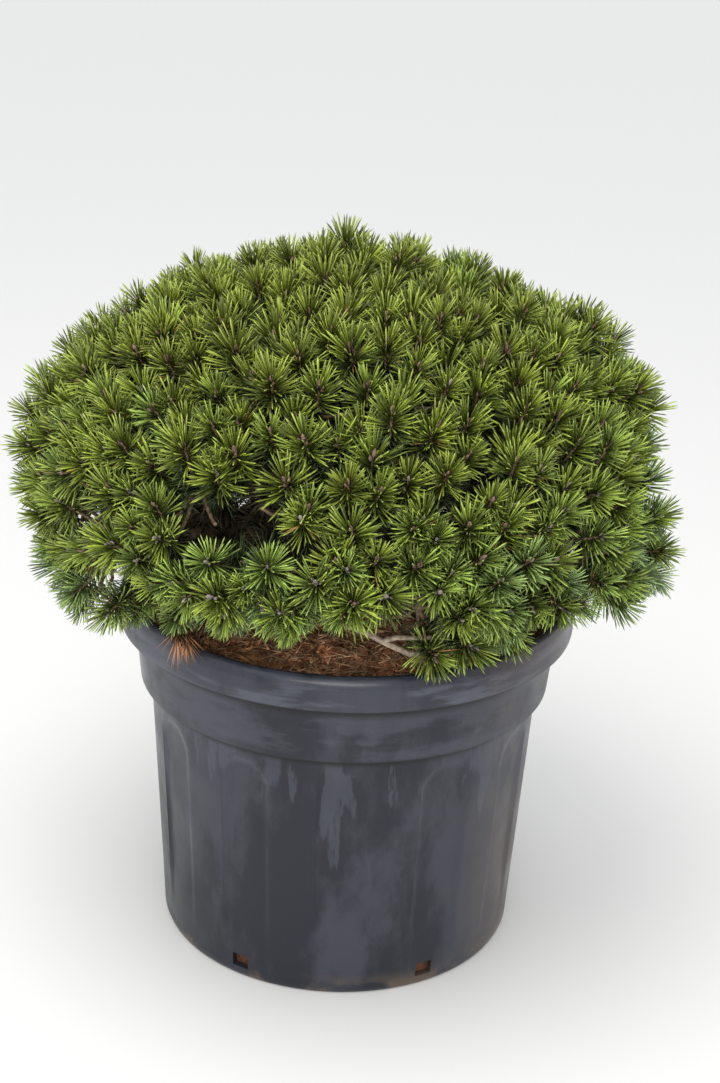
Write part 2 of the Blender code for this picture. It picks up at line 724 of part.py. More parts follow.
def make_foliage(mass, units, number, finish):
    """Core, stem, twigs and tufts of one mass, joined into one solid."""
    rng = random.Random(FOLIAGE_SEED + number)
    core = make_core(mass, rng, finish)
    helpers = bpy.data.collections.new("joined_" + mass.name)
    bpy.context.scene.collection.children.link(helpers)
    heart = mass.heart()
    pieces = []
    stem_start = mass.foot() + mass.unit * CLEARANCE
    vertices, faces = tube([stem_start, heart], [STEM_RADIUS, STEM_TIP_RADIUS], STEM_SIDES)
    pieces.append(new_object("stem", vertices, faces))
    for unit in units:
        middle, axis = shoot_place(mass, unit)
        if not mass.holds(middle, SHOOT_ROOM):
            continue
        root = stem_start.lerp(heart, rng.uniform(*TWIG_ROOT_SHARES))
        twig = make_twig(mass, rng, root, middle)
        if twig is None:
            continue
        pieces.append(twig)
        pieces.append(make_tuft(mass, rng, middle, axis))
    for piece in pieces:
        bpy.context.scene.collection.objects.unlink(piece)
        helpers.objects.link(piece)
    apply_boolean(core, "UNION", collection=helpers)
    for piece in pieces:
        bpy.data.objects.remove(piece, do_unlink=True)
    bpy.data.collections.remove(helpers)
    keep_largest(core)


def needle_finish(mass):
    """Brighter needles near the top of the dome, darker ones lower down."""
    share = ease(mass.unit.z, -0.2, 0.9)
    colour = []
    for low, high in zip(NEEDLE_LOW_COLOUR, NEEDLE_TOP_COLOUR):
        colour.append(low + (high - low) * share)
    return material("needles_" + mass.name, colour, 0.55)


def main():
    clear_scene()
    make_pot(material("pot_plastic", POT_COLOUR, 0.42))
    make_soil(material("potting_bark", SOIL_COLOUR, 0.95))
    bark = material("bark", BARK_COLOUR, 0.90)
    make_trunk(bark)
    sleeve_vertices, sleeve_faces = trunk_mesh(CLEARANCE)
    sleeve = new_object("sleeve", sleeve_vertices, sleeve_faces)
    masses = make_masses()
    shoots = {mass.name: [] for mass in masses}
    for unit in shoot_directions(SHOOT_COUNT):
        if in_hollow(unit):
            continue
        owner = max(masses, key=lambda mass: mass.unit.dot(unit))
        shoots[owner.name].append(unit)
    for number, mass in enumerate(masses):
        if mass.bough_z > 0.0:
            make_bough(mass, sleeve, bark)
        make_foliage(mass, shoots[mass.name], number, needle_finish(mass))
    bpy.data.objects.remove(sleeve, do_unlink=True)


main()
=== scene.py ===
"""The finished look of a mugo pine grown as a dense dome in a black nursery pot.

Metres, +Z up.  The origin is the middle of the pot's flat underside, and the
side that the pine is looked at from is -Y.  Azimuths turn from -Y towards +X,
and polar angles come down from +Z at the middle of the dome.
"""

import json
import random
from math import acos, atan2, cos, exp, hypot, pi, radians, sin, sqrt

import bpy
import numpy
from bpy.props import FloatProperty, FloatVectorProperty, IntProperty, PointerProperty
from bpy.types import Operator, Panel, PropertyGroup
from mathutils import Matrix, Vector, noise

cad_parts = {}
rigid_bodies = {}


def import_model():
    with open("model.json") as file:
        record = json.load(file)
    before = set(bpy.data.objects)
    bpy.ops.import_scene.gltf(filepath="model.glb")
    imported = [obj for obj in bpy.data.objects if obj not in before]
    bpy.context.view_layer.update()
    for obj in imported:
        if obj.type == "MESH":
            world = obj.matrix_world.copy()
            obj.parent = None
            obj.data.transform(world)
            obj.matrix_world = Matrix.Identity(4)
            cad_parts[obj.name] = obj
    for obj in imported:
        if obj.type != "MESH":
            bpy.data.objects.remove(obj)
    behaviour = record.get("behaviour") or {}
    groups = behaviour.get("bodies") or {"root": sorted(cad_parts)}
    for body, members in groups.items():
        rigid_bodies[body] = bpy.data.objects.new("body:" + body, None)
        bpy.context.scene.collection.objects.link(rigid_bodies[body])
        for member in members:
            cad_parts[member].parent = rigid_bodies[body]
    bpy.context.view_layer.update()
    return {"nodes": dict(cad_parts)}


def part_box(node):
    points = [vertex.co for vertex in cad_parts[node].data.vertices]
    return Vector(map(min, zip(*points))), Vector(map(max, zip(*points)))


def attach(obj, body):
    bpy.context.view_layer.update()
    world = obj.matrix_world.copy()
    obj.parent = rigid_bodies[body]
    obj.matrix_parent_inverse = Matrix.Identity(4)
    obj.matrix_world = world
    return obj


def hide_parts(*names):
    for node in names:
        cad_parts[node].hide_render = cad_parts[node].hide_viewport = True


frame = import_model()

bl_info = {
    "name": "Potted mugo pine",
    "version": (1, 0, 0),
    "blender": (4, 5, 0),
    "location": "3D View > Sidebar > Pine",
    "description": "Grows the needles, twigs, bark, soil and pot of a dwarf pine",
    "category": "Add Mesh",
}

# Pot, from its underside up
POT_BASE_RADIUS = 0.2095
POT_FOOT_RADIUS = 0.2130
POT_FOOT_HEIGHT = 0.006
POT_BODY_TOP_RADIUS = 0.2300
POT_BAND_Z = 0.3170
POT_BAND_RADIUS = 0.2422
POT_BAND_TOP_RADIUS = 0.2490
POT_LIP_Z = 0.3900
POT_MOUTH_RADIUS = 0.2495
POT_WALL = 0.0035
POT_FLOOR = 0.0045
POT_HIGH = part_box("pot")[1]
POT_COLUMNS = 360
POT_BODY_STEPS = 48
RIM_STEPS = 8
MOUTH_STEPS = 5
MOUTH_FALL = 0.008

# Upright panels pressed into the pot's body, with arched tops
FLUTE_COUNT = 12
FLUTE_FIRST_EDGE = radians(-5.5)
FLUTE_HALF_WIDTH = radians(7.5)
FLUTE_EDGE = radians(0.8)
FLUTE_TOP_Z = 0.302
FLUTE_ARCH = 0.022
FLUTE_ARCH_POWER = 2.4
FLUTE_SLOPE = 0.014
FLUTE_LOW_Z = 0.120
FLUTE_FOOT_Z = 0.020

# Drain holes through the wall just above the floor
DRAIN_COUNT = 6
DRAIN_FIRST_AZIMUTH = radians(30.0)
DRAIN_WIDTH = 0.021
DRAIN_LOW_Z = 0.012
DRAIN_HIGH_Z = 0.029
DRAIN_INNER_RADIUS = POT_BASE_RADIUS - 0.020
DRAIN_OUTER_RADIUS = POT_FOOT_RADIUS + 0.010

# Soil
SOIL_EDGE_Z = 0.4040
SOIL_SHOULDER_Z = 0.4150
SOIL_MIDDLE_Z = 0.4200
SOIL_SHOULDER_RADIUS = 0.150
SOIL_FLAT_RADIUS = 0.065
SOIL_TOP_RADIUS = 0.2445
SOIL_UNDERSIDE_Z = POT_FLOOR + 0.0004
SOIL_SIDES = (
    (POT_FOOT_RADIUS - 0.0090, SOIL_UNDERSIDE_Z),
    (POT_FOOT_RADIUS - 0.0075, 0.030),
    (POT_BODY_TOP_RADIUS - 0.0090, POT_BAND_Z - 0.006),
    (POT_BAND_RADIUS - 0.0068, POT_BAND_Z + 0.008),
    (POT_BAND_TOP_RADIUS - 0.0066, POT_LIP_Z - 0.004),
)
SOIL_LUMPS = ((1.0, 0.3, 26.0), (0.45, 1.7, 90.0))  # share of the relief, layer, scale
SOIL_SECTORS = 144
SOIL_STEPS = 44
CHIP_VARIANTS = 4
CHIP_THICKNESS = 0.0024
LITTER_RADIUS = 0.236
LITTER_INNER_RADIUS = 0.004
LITTER_SECTORS = 96
LITTER_STEPS = 24

# Trunk
TRUNK_FOOT_Z = 0.4203
TRUNK_FLARE_RADIUS = 0.046
TRUNK_RADIUS = 0.029
TRUNK_TIP_RADIUS = 0.009
TRUNK_LEAN = Vector((-0.010, 0.006, 0.0))
FLARE_LOBES = 5
FLARE_HEIGHT = 0.035
FLARE_PHASE = 0.7
FLARE_SHARES = (0.45, 0.55)  # all round, and of the lobes
BARK_SCALES = (150.0, 60.0)  # cracks, plates
BARK_DRAWN_OUT = 0.35
TRUNK_STEPS = 58
TRUNK_SIDES = 40

# Dome of needle tips: a rounded block about its middle
DOME_MIDDLE = Vector((-0.004, 0.0, 0.549))
DOME_RADIUS = 0.3715
DOME_UP = 0.281
DOME_DOWN_SIDE = 0.290
DOME_DOWN_FRONT = 0.105
DOME_DOWN_BACK = 0.235
DOME_SQUARENESS = 2.236
DOME_LOWEST_POLAR = radians(124.0)

# Places where the dome swells or is drawn in: azimuth, polar and spread in degrees, height
SWELLS = (
    (-150.0, 9.0, 9.0, 0.022),  # tuft at the top
    (-118.0, 21.0, 8.0, -0.015),  # dip left of the top
    (90.0, 34.0, 9.0, -0.014),  # dip right of the top
    (90.0, 52.0, 9.0, 0.024),  # right shoulder
    (90.0, 67.0, 6.0, 0.012),  # right side
    (-90.0, 54.0, 8.0, -0.010),  # dip of the left shoulder
    (-90.0, 76.0, 13.0, 0.017),  # bulge at the left
    (92.0, 87.0, 8.0, -0.024),  # waist at the right
    (84.0, 99.0, 8.0, 0.030),  # low limb at the right
    (-90.0, 119.0, 8.0, 0.026),  # low spray at the left
    (90.0, 110.0, 7.0, -0.016),  # under the right side
)

# Openings between the shoots: azimuth, polar, half width and half height in degrees, and
# whether the twigs behind them keep their old needles
HOLLOWS = (
    (-20.5, 76.0, 14.0, 6.4, True),  # slit at the left
    (-35.0, 103.0, 8.5, 9.5, False),  # window on the soil
    (11.0, 104.0, 12.0, 16.5, False),  # bare limb
    (20.0, 117.0, 14.0, 10.0, False),  # under the bare limb
    (47.0, 112.0, 12.0, 15.5, False),  # over the rim at the right
    (64.0, 116.0, 10.0, 12.0, False),  # beyond it
    (28.0, 82.0, 3.4, 2.2, False),  # chink at the right
    (38.0, 88.0, 3.6, 3.4, False),  # sky at the right
    (-47.0, 83.0, 3.4, 3.0, False),  # sky at the left, high
    (-42.0, 91.0, 3.4, 3.0, False),  # sky at the left, low
)

# Lines of sight from the front that stay open: where they cross the middle of the pine
# from side to side, as X and Z, and how far the sprays keep off them
SIGHTS = (
    (-0.310, 0.494, 0.028),
    (-0.292, 0.426, 0.020),
    (0.331, 0.542, 0.017),
    (0.277, 0.482, 0.017),
)

# Rings of foliage masses: name, count, polar and first azimuth in degrees, height of the whorl
RINGS = (
    ("upper", 6, 37.0, 12.0, 0.585),
    ("middle", 8, 63.0, 6.0, 0.525),
    ("skirt", 10, 94.0, -16.0, 0.462),
)
MASS_INNER_SHARE = 0.62
WHORL_STAGGER = 0.009
STEM_REACH = 0.048

# Boughs, branchlets and twigs: radius at the root and at the tip
BOUGH_RADII = (0.0085, 0.0065)
STEM_RADII = (0.0065, 0.0042)
BRANCHLET_RADII = (0.0040, 0.0029)
TWIG_RADII = (0.0026, 0.0019)
SHOOT_RADIUS = 0.0016
BOUGH_SAG = 0.0054
TWIGS_IN_GROUP = 5
FORK_SHARE = 0.52
BRANCHLET_RISE = 0.006
BRANCHLET_SAG = 0.010
BRANCHLET_STEPS = 5
TWIG_LEAVE_SHARE = 0.35
TWIG_ARRIVE_SHARE = 0.40
TWIG_STEPS = 6
TWIG_SIDES = 5
BARE_LIMB_SIDES = 9
BOUGH_STEPS = 22
BOUGH_SIDES = 10
BOUGH_RELIEF_SHARE = 0.6
STEM_SHARES = (0.2, 0.4, 0.6, 0.8, 1.0)

# Nothing of the foliage starts lower than this over the pot and its soil
OVER_POT_Z = 0.4345
OVER_POT_RADIUS = 0.2740
SHOOT_OVER_POT = 0.036
SHOOT_BESIDE_POT = 0.024

TURN = 2.0 * pi
QUARTER = 0.5 * pi
GOLDEN_ANGLE = pi * (3.0 - sqrt(5.0))

# How the shoots stand on the dome
SHOOT_JITTER = 0.9
SHOOT_UPTURN = 0.14
SHOOT_UPTURN_GAIN = 0.44
SHOOT_WANDER = 0.20
SHOOT_SIZES = (0.80, 1.12)
SHOOT_DEPTHS = (-0.006, 0.024)
HANGING_SHRINK = 0.22
LOWEST_AXIS_Z = -0.10
NEEDLE_SIZES = (0.84, 1.08)
PAIR_FORM = (0.10, 0.0022)  # half the angle between the two needles, bend
FALLEN_FORM = (0.14, 0.006)
NEEDLE_REACH_SHARE = 0.80

# How yellow a shoot is by its place, and by chance: partly the needles' own colour and partly painted light,
# yellower high up, in front and to the left where the light falls
LIGHT_AT_FRONT = 0.45
LIGHT_AT_LEFT = 0.50
LIGHT_SPREAD = 0.26

# Older needles: piece, how far back along the shoot, share of the way in to its mass's middle. Their dark
# green is partly their own and partly painted shade between the shoots
OLD_SPRAYS = (("needles_old", 0.026, 0.0), ("needles_inner", 0.0, 0.52))

# Sprays in the shade: how many, how far out, how large
INNER_SPRAYS = 520
INNER_DEPTHS = (0.34, 0.66)
INNER_SIZES = (0.9, 1.15)
BACK_SPRAYS = 90
BACK_RADII = (0.16, 0.27)
BACK_RISES = (0.010, 0.050)
BACK_SIZE = 1.1
BROWNED_SHOOTS = 70

# Kinds of tufts: how many to pick from, pairs of needles, whether the needles are fine, polar
# angles in degrees at the foot and at the tip, length of the shoot, seed.  A count or length
# of 0 is the setting's own.
TUFTS = {
    "tuft": (6, 0, True, 84.0, 20.0, 0.0, 100),
    "old_tuft": (3, 24, False, 80.0, 42.0, 0.030, 300),
    "browned_tuft": (3, 4, False, 75.0, 45.0, 0.020, 400),
    "dried_tuft": (3, 14, False, 34.0, 10.0, 0.012, 500),
}

# Buds at a tip: foot, radius, length
BUDS = (
    ((0.0, 0.0, 0.0), 0.0031, 0.0125),
    ((0.0032, 0.0, -0.001), 0.0020, 0.0080),
    ((-0.0018, 0.0028, -0.001), 0.0020, 0.0075),
)
BUD_PROFILE = ((0.0, 0.55), (0.30, 1.0), (0.65, 0.80), (1.0, 0.12))
BUD_SIDES = 5
BUD_SPLAY = 0.8
BUD_SIZES = (0.70, 1.05)
RED_BUD_HEIGHT = 0.25
RED_BUD_SPREAD = 0.2

# Greens of the needles, from the skirt up to the top of the dome: partly their own colour and partly painted
# light
NEEDLE_GREENS = (
    ("skirt_blue", (0.196, 0.296, 0.112)),
    ("skirt", (0.210, 0.312, 0.088)),
    ("low", (0.224, 0.326, 0.067)),
    ("shade", (0.210, 0.298, 0.054)),
    ("middle", (0.202, 0.284, 0.046)),
    ("light", (0.216, 0.292, 0.043)),
    ("upper", (0.210, 0.274, 0.039)),
    ("top", (0.200, 0.254, 0.037)),
)

# Sprays that hang over the front of the pot: base, axis, size
FRONT_SPRAYS = (
    ((0.086, -0.252, 0.468), (0.30, -0.88, -0.12), 1.00),
    ((0.116, -0.250, 0.474), (0.62, -0.70, 0.05), 1.05),
    ((0.163, -0.178, 0.466), (0.55, -0.70, -0.30), 1.0),
    ((-0.200, -0.118, 0.470), (-0.72, -0.55, -0.35), 1.0),
)
FRONT_SPRAY_HEIGHT = 0.2

# A bare forked limb low at the front
BARE_LIMBS = (
    (((0.004, -0.030, 0.452), (-0.012, -0.130, 0.458), (0.000, -0.225, 0.476), (0.021, -0.247, 0.478),
      (0.041, -0.253, 0.470), (0.070, -0.257, 0.4585), (0.092, -0.255, 0.4595)), 0.0046, 0.0028),
    (((0.041, -0.253, 0.4705), (0.055, -0.255, 0.4765), (0.070, -0.257, 0.4775), (0.086, -0.257, 0.4785),
      (0.104, -0.257, 0.4805)), 0.0030, 0.0023),
    (((0.100, -0.257, 0.480), (0.105, -0.257, 0.4808), (0.110, -0.257, 0.4805)), 0.0037, 0.0040),
)

# Dried sprays caught on the rim: base, axis
DRIED_SPRAYS = (
    ((-0.180, -0.200, 0.452), (0.06, -0.74, -0.66)),
    ((-0.172, -0.204, 0.450), (0.22, -0.70, -0.66)),
    ((-0.120, -0.206, 0.430), (0.90, -0.20, -0.15)),
)

# Camera at the height and angle that the pine is looked at from
CAMERA_PLACE = Vector((0.0126, -2.1055, 1.3326))
CAMERA_PITCH = radians(22.05)
CAMERA_ROLL = 0.04166
CAMERA_LENS = 64.65
CAMERA_SENSOR = 36.0

# Lamps: name, place, target, size, share of the power, tint
LAMPS = (
    ("lamp_above", (-0.50, -0.8, 2.85), (0.0, 0.0, 0.5), (1.8, 1.8), 1.0, (1.0, 0.99, 0.95)),
    ("lamp_front", (0.0, -3.0, 1.5), (0.0, 0.0, 0.5), (1.6, 1.6), 0.36, (1.0, 0.99, 0.97)),
    ("lamp_low", (-0.15, -2.1, 0.95), (0.0, -0.19, 0.43), (1.7, 0.16), 0.17, (1.0, 0.99, 0.97)),
)
SKY_TINT = (0.96, 0.98, 1.0, 1.0)
FLOOR_SIDES = 96
FLOOR_Z = -0.0005

BOX_FACES = [(3, 2, 1, 0), (4, 5, 6, 7), (0, 1, 5, 4), (1, 2, 6, 5), (2, 3, 7, 6), (3, 0, 4, 7)]


# Settings

def colour(label, words, default):
    return FloatVectorProperty(
        name=label, description=words, default=default, subtype="COLOR", size=3, min=0.0, max=1.0)


def length(label, words, default):
    return FloatProperty(
        name=label, description=words, default=default, subtype="DISTANCE", unit="LENGTH", min=0.0)


def number(label, words, default):
    return IntProperty(name=label, description=words, default=default, min=1)


class StageSettings(PropertyGroup):
    floor_colour: colour("Floor", "Colour of the pale floor", (0.835, 0.826, 0.808))
    floor_radius: length("Floor radius", "Reach of the floor round the pot", 60.0)
    sky_strength: FloatProperty(
        name="Sky", description="Strength of the even light from all round", default=1.0, min=0.0)
    lamp_power: FloatProperty(
        name="Lamp", description="Power of the large lamp overhead", default=34.0, min=0.0,
        subtype="POWER", unit="POWER")


class PotSettings(PropertyGroup):
    rim_radius: length("Rim radius", "Outer radius of the rolled rim", POT_HIGH.x)
    rim_top: length("Rim height", "Height of the top of the rim", POT_HIGH.z)
    panel_depth: length("Panel depth", "How far the upright panels are pressed in", 0.0034)
    plastic: colour("Plastic", "Colour of the clean plastic", (0.012, 0.014, 0.022))
    film: colour("Film", "Colour of the dry film on the plastic", (0.054, 0.057, 0.075))
    dust: colour("Dust", "Colour of the dust at the foot", (0.110, 0.080, 0.060))


class SoilSettings(PropertyGroup):
    relief: length("Relief", "Height of the lumps of the soil", 0.0040)
    chip_density: FloatProperty(
        name="Chips", description="Bark chips on each square metre", default=9000.0, min=0.0)
    needle_density: FloatProperty(
        name="Fallen needles", description="Fallen needles on each square metre", default=17000.0, min=0.0)
    dark: colour("Dark soil", "Colour of the damp soil", (0.380, 0.160, 0.090))
    warm: colour("Warm soil", "Colour of the dry bark and peat", (0.900, 0.400, 0.200))
    straw: colour("Fallen needles", "Colour of the fallen needles", (0.980, 0.590, 0.330))


class CrownSettings(PropertyGroup):
    shoot_count: number("Shoots", "Growing tips shared over the dome", 720)
    pair_count: number("Needle pairs", "Pairs of needles on a shoot", 46)
    needle_length: length("Needle length", "Length of a needle", 0.036)
    needle_width: length("Needle width", "Width of a needle", 0.0018)
    shoot_length: length("Shoot length", "Length of a shoot that bears needles", 0.024)
    # Partly the old needles' own dark green, partly painted shade between the shoots
    old_needles: colour("Old needles", "Colour of the needles of earlier years", (0.036, 0.062, 0.016))
    shaded: colour("Shaded needles", "Colour of the needles deep in the shade", (0.062, 0.052, 0.026))
    browned: colour("Browned needles", "Colour of the needles that have died", (0.420, 0.205, 0.085))
    bud_red: colour("Upper buds", "Colour of the buds in the light", (0.380, 0.225, 0.190))
    bud_grey: colour("Lower buds", "Colour of the buds in the shade", (0.500, 0.420, 0.385))


class BarkSettings(PropertyGroup):
    relief: length("Bark relief", "Depth of the cracks of the bark", 0.0016)
    bark: colour("Bark", "Colour of the bark's plates", (0.150, 0.098, 0.068))
    crack: colour("Cracks", "Colour of the bark's cracks", (0.040, 0.026, 0.019))
    twig: colour("Twigs", "Colour of the twigs", (0.270, 0.175, 0.110))
    bare: colour("Bare limb", "Colour of the limb without needles", (0.420, 0.330, 0.250))


# Shapes

def polar_point(radius, azimuth, z):
    return Vector((radius * sin(azimuth), -radius * cos(azimuth), z))


def ring_points(radius, z, count):
    return [polar_point(radius, TURN * side / count, z) for side in range(count)]


def upright(z):
    return Vector((0.0, 0.0, z))


def direction(azimuth, polar):
    return polar_point(sin(polar), azimuth, cos(polar))


def angles(unit):
    """Azimuth and polar angle of a direction."""
    return atan2(unit.x, -unit.y), acos(max(-1.0, min(1.0, unit.z)))


def ease(value, low, high):
    """Smooth step from 0 at low to 1 at high."""
    share = max(0.0, min(1.0, (value - low) / (high - low)))
    return share * share * (3.0 - 2.0 * share)


def toned(tint, share):
    """A colour made darker or lighter."""
    return tuple(channel * share for channel in tint)


def tapered(radii, shares):
    """Radii at shares of the way from the first of two radii to the second."""
    return [radii[0] + (radii[1] - radii[0]) * share for share in shares]


def curve_points(start, leave, arrive, end, steps):
    """Points along a curve that leaves and arrives towards its two middle points."""
    points = []
    for step in range(steps):
        t = step / (steps - 1)
        s = 1.0 - t
        points.append(start * s ** 3 + leave * (3 * s * s * t) + arrive * (3 * s * t * t) + end * t ** 3)
    return points


def new_object(name, data):
    item = bpy.data.objects.new(name, data)
    bpy.context.scene.collection.objects.link(item)
    return item


def new_mesh(name, vertices, faces, finish=None):
    mesh = bpy.data.meshes.new(name)
    mesh.from_pydata([tuple(point) for point in vertices], [], faces)
    mesh.update()
    if finish is not None:
        mesh.materials.append(finish)
    return mesh


def mark(mesh, label, values, kind="FLOAT"):
    """Numbers or directions kept with the mesh's points."""
    field = "vector" if kind == "FLOAT_VECTOR" else "value"
    mesh.attributes.new(label, kind, "POINT").data.foreach_set(field, values)


def ring_faces(count, sides, first=0):
    """Four-sided faces between stacked rings of equal count."""
    faces = []
    for step in range(count - 1):
        for side in range(sides):
            a, b = (first + step * sides + end for end in (side, (side + 1) % sides))
            faces.append((a, b, b + sides, a + sides))
    return faces


def closed_rings(rings, bottom, top, first=0):
    """Points and faces of stacked rings, closed at both ends by two points."""
    sides = len(rings[0])
    vertices = [point for ring in rings for point in ring] + [bottom, top]
    faces = ring_faces(len(rings), sides, first)
    low = first + len(vertices) - 2
    last = low - sides
    for side in range(sides):
        beside = (side + 1) % sides
        faces.append((low, first + beside, first + side))
        faces.append((low + 1, last + side, last + beside))
    return vertices, faces


def tube(path, radii, sides, relief=None, first=0):
    """Rings of points round a path, counter-clockwise about its direction."""
    rings = []
    across = None
    for step, point in enumerate(path):
        ahead = (path[min(step + 1, len(path) - 1)] - path[max(step - 1, 0)]).normalized()
        if across is None:
            across = ahead.orthogonal()
        across = (across - ahead * across.dot(ahead)).normalized()
        beside = ahead.cross(across)
        ring = []
        for side in range(sides):
            angle = TURN * side / sides
            out = across * cos(angle) + beside * sin(angle)
            radius = radii[step]
            if relief is not None:
                radius += relief(point + out * radius)
            ring.append(point + out * radius)
        rings.append(ring)
    return closed_rings(rings, path[0], path[-1], first)


def smooth(item, angle=radians(38.0)):
    item.data.shade_smooth()
    item.data.set_sharp_from_angle(angle=angle)


def place(item, nodes, slot):
    """The piece rides on the body and stands for CAD nodes; the slot it is given is not used."""
    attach(item, "root")
    if nodes:
        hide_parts(*nodes)


# Node trees

def socket(sockets, key):
    """A socket by its number, or the first one in use by its name."""
    if isinstance(key, int):
        return sockets[key]
    return next(item for item in sockets if item.enabled and key in (None, item.name))


class Tree:
    """A node tree being laid out."""

    def __init__(self, tree):
        self.tree = tree

    def feed(self, into, value):
        if isinstance(value, bpy.types.NodeSocket):
            self.tree.links.new(value, into)
        elif into.type == "RGBA":
            into.default_value = (*value, 1.0)
        else:
            into.default_value = value

    def add(self, kind, fed=None, out=None, **settings):
        """A node with its settings, its inputs fed, and one of its outputs to use."""
        node = self.tree.nodes.new(kind)
        for name, value in settings.items():
            setattr(node, name, value)
        for key, value in (fed or {}).items():
            self.feed(socket(node.inputs, key), value)
        return socket(node.outputs, out)

    def math(self, operation, first, second):
        return self.add("ShaderNodeMath", {0: first, 1: second}, operation=operation)


# Finishes

class Paint(Tree):
    """A material being laid out from its pattern to its surface."""

    def __init__(self, name, base, roughness, specular=0.5):
        self.material = bpy.data.materials.new(name)
        self.material.use_nodes = True
        super().__init__(self.material.node_tree)
        self.shader = self.tree.nodes["Principled BSDF"].inputs
        self.shader["Specular IOR Level"].default_value = specular
        self.shader["Metallic"].default_value = 0.0
        self.finish(base, roughness)
        self.place = self.add("ShaderNodeTexCoord", out="Object")

    def stretched(self, scale):
        """Object coordinates drawn out along an axis."""
        return self.add("ShaderNodeMapping", {"Vector": self.place, "Scale": scale})

    def cloud(self, scale, detail=3.0, roughness=0.55, place=None):
        return self.add("ShaderNodeTexNoise", {
            "Vector": place or self.place, "Scale": scale, "Detail": detail, "Roughness": roughness}, "Fac")

    def cells(self, place):
        return self.add("ShaderNodeTexVoronoi", {"Vector": place, "Scale": 1.0}, "Distance")

    def along(self, axis):
        """Object coordinate along X, Y or Z."""
        return self.add("ShaderNodeSeparateXYZ", {"Vector": self.place}, axis)

    def attribute(self, name):
        return self.add("ShaderNodeAttribute", out="Fac", attribute_name=name)

    def ramp(self, value, low, high, start=0.0, end=1.0):
        """Value spread from start at low to end at high."""
        fed = {"Value": value, "From Min": low, "From Max": high, "To Min": start, "To Max": end}
        return self.add("ShaderNodeMapRange", fed, "Result", interpolation_type="SMOOTHSTEP")

    def times(self, first, second):
        return self.math("MULTIPLY", first, second)

    def mix(self, share, first, second):
        return self.add("ShaderNodeMix", {0: share, 6: first, 7: second}, 2, data_type="RGBA")

    def bump(self, value, distance, strength=1.0, under=None):
        fed = {"Height": value, "Distance": distance, "Strength": strength}
        if under is not None:
            fed["Normal"] = under
        return self.add("ShaderNodeBump", fed, "Normal")

    def finish(self, base=None, roughness=None, normal=None):
        for name, value in (("Base Color", base), ("Roughness", roughness), ("Normal", normal)):
            if value is not None:
                self.feed(self.shader[name], value)
        return self.material


def plastic_finish(pot):
    """Scuffed black plastic with a dry film, run marks under the band and a dusty foot, a painted sheen on
    the rim, painted highlights along the panel edges and painted shadows under the lip and the band.
    """
    paint = Paint("pot_plastic", pot.plastic, 0.40, 0.38)
    height = paint.along("Z")

    def patches(scale, low, high, detail=5.0, grain=0.6):
        return paint.ramp(paint.cloud(1.0, detail, grain, paint.stretched(scale)), low, high)

    fading = paint.ramp(height, POT_BAND_Z - 0.21, POT_BAND_Z - 0.01, 0.72, 1.0)
    streaks = paint.times(paint.cloud(1.0, 5.0, 0.62, paint.stretched((30.0, 30.0, 5.0))), fading)
    runs = paint.times(
        paint.ramp(streaks, 0.500, 0.545), paint.ramp(height, POT_BAND_Z, POT_BAND_Z - 0.002))
    on_band = paint.times(
        paint.ramp(height, POT_LIP_Z, POT_LIP_Z - 0.004), paint.ramp(height, POT_BAND_Z, POT_BAND_Z + 0.006))
    # Paler film over the rim's roll: partly real smears, partly a painted sheen that lightens the rim, less
    # at its crest
    rim_film_and_sheen = paint.times(
        paint.ramp(height, POT_LIP_Z - 0.002, POT_LIP_Z + 0.004),
        paint.ramp(height, POT_LIP_Z + 0.034, POT_LIP_Z + 0.022, 0.55, 1.0))
    # Warmer, paler patches over the right side of the pot
    warm_right_patches = paint.times(
        paint.ramp(paint.along("X"), 0.13, 0.21), paint.ramp(paint.cloud(5.0, 5.0), 0.35, 0.60))
    # Painted highlight: pale lines along the panel edges, in patches
    painted_edge_highlight = paint.times(paint.attribute("edge_highlight"), paint.ramp(paint.cloud(9.0), 0.45, 0.60))
    dust = paint.times(paint.ramp(height, 0.030, 0.0), paint.ramp(paint.cloud(14.0, 6.0), 0.48, 0.60))
    # What is painted on the plastic, the lowest first: where, how strongly, colour, brightness
    layers = [
        (patches((8.0, 8.0, 3.6), 0.44, 0.60, 6.0, 0.65), 0.62, pot.film, 1.0),
        (runs, 0.40, pot.film, 1.5),
        (rim_film_and_sheen, 0.32, pot.film, 1.0),
        (paint.times(patches((8.0, 8.0, 26.0), 0.46, 0.58), on_band), 0.45, pot.film, 1.3),
        (paint.times(patches((7.0, 7.0, 40.0), 0.44, 0.56), rim_film_and_sheen), 0.72, pot.film, 1.7),
        (warm_right_patches, 0.38, pot.dust, 1.2),
        (painted_edge_highlight, 0.16, pot.film, 2.6),
        (dust, 1.0, pot.dust, 1.0),
    ]
    # Painted shadow: the plastic painted darker just under the rim's lip and under the band's lower edge
    for edge, drop in ((POT_LIP_Z, 0.020), (POT_BAND_Z, 0.014)):
        painted_shadow = paint.ramp(height, edge - drop, edge - 0.4 * drop)
        painted_shadow = paint.times(painted_shadow, paint.ramp(height, edge + 0.0025, edge + 0.0005))
        layers.append((painted_shadow, 0.9, pot.plastic, 0.15))
    base = pot.plastic
    for share, strength, tint, tone in layers:
        base = paint.mix(paint.times(share, strength), base, toned(tint, tone))
    polish = paint.ramp(height, POT_LIP_Z + 0.020, POT_LIP_Z + 0.032, 1.0, 0.50)
    roughness = paint.times(paint.ramp(paint.cloud(16.0, 4.0), 0.30, 0.70, 0.30, 0.46), polish)
    broad = paint.bump(paint.cloud(9.0, 2.0), 0.004, 0.5)
    return paint.finish(base, roughness, paint.bump(paint.cloud(900.0, 2.0), 0.0002, 0.35, broad))


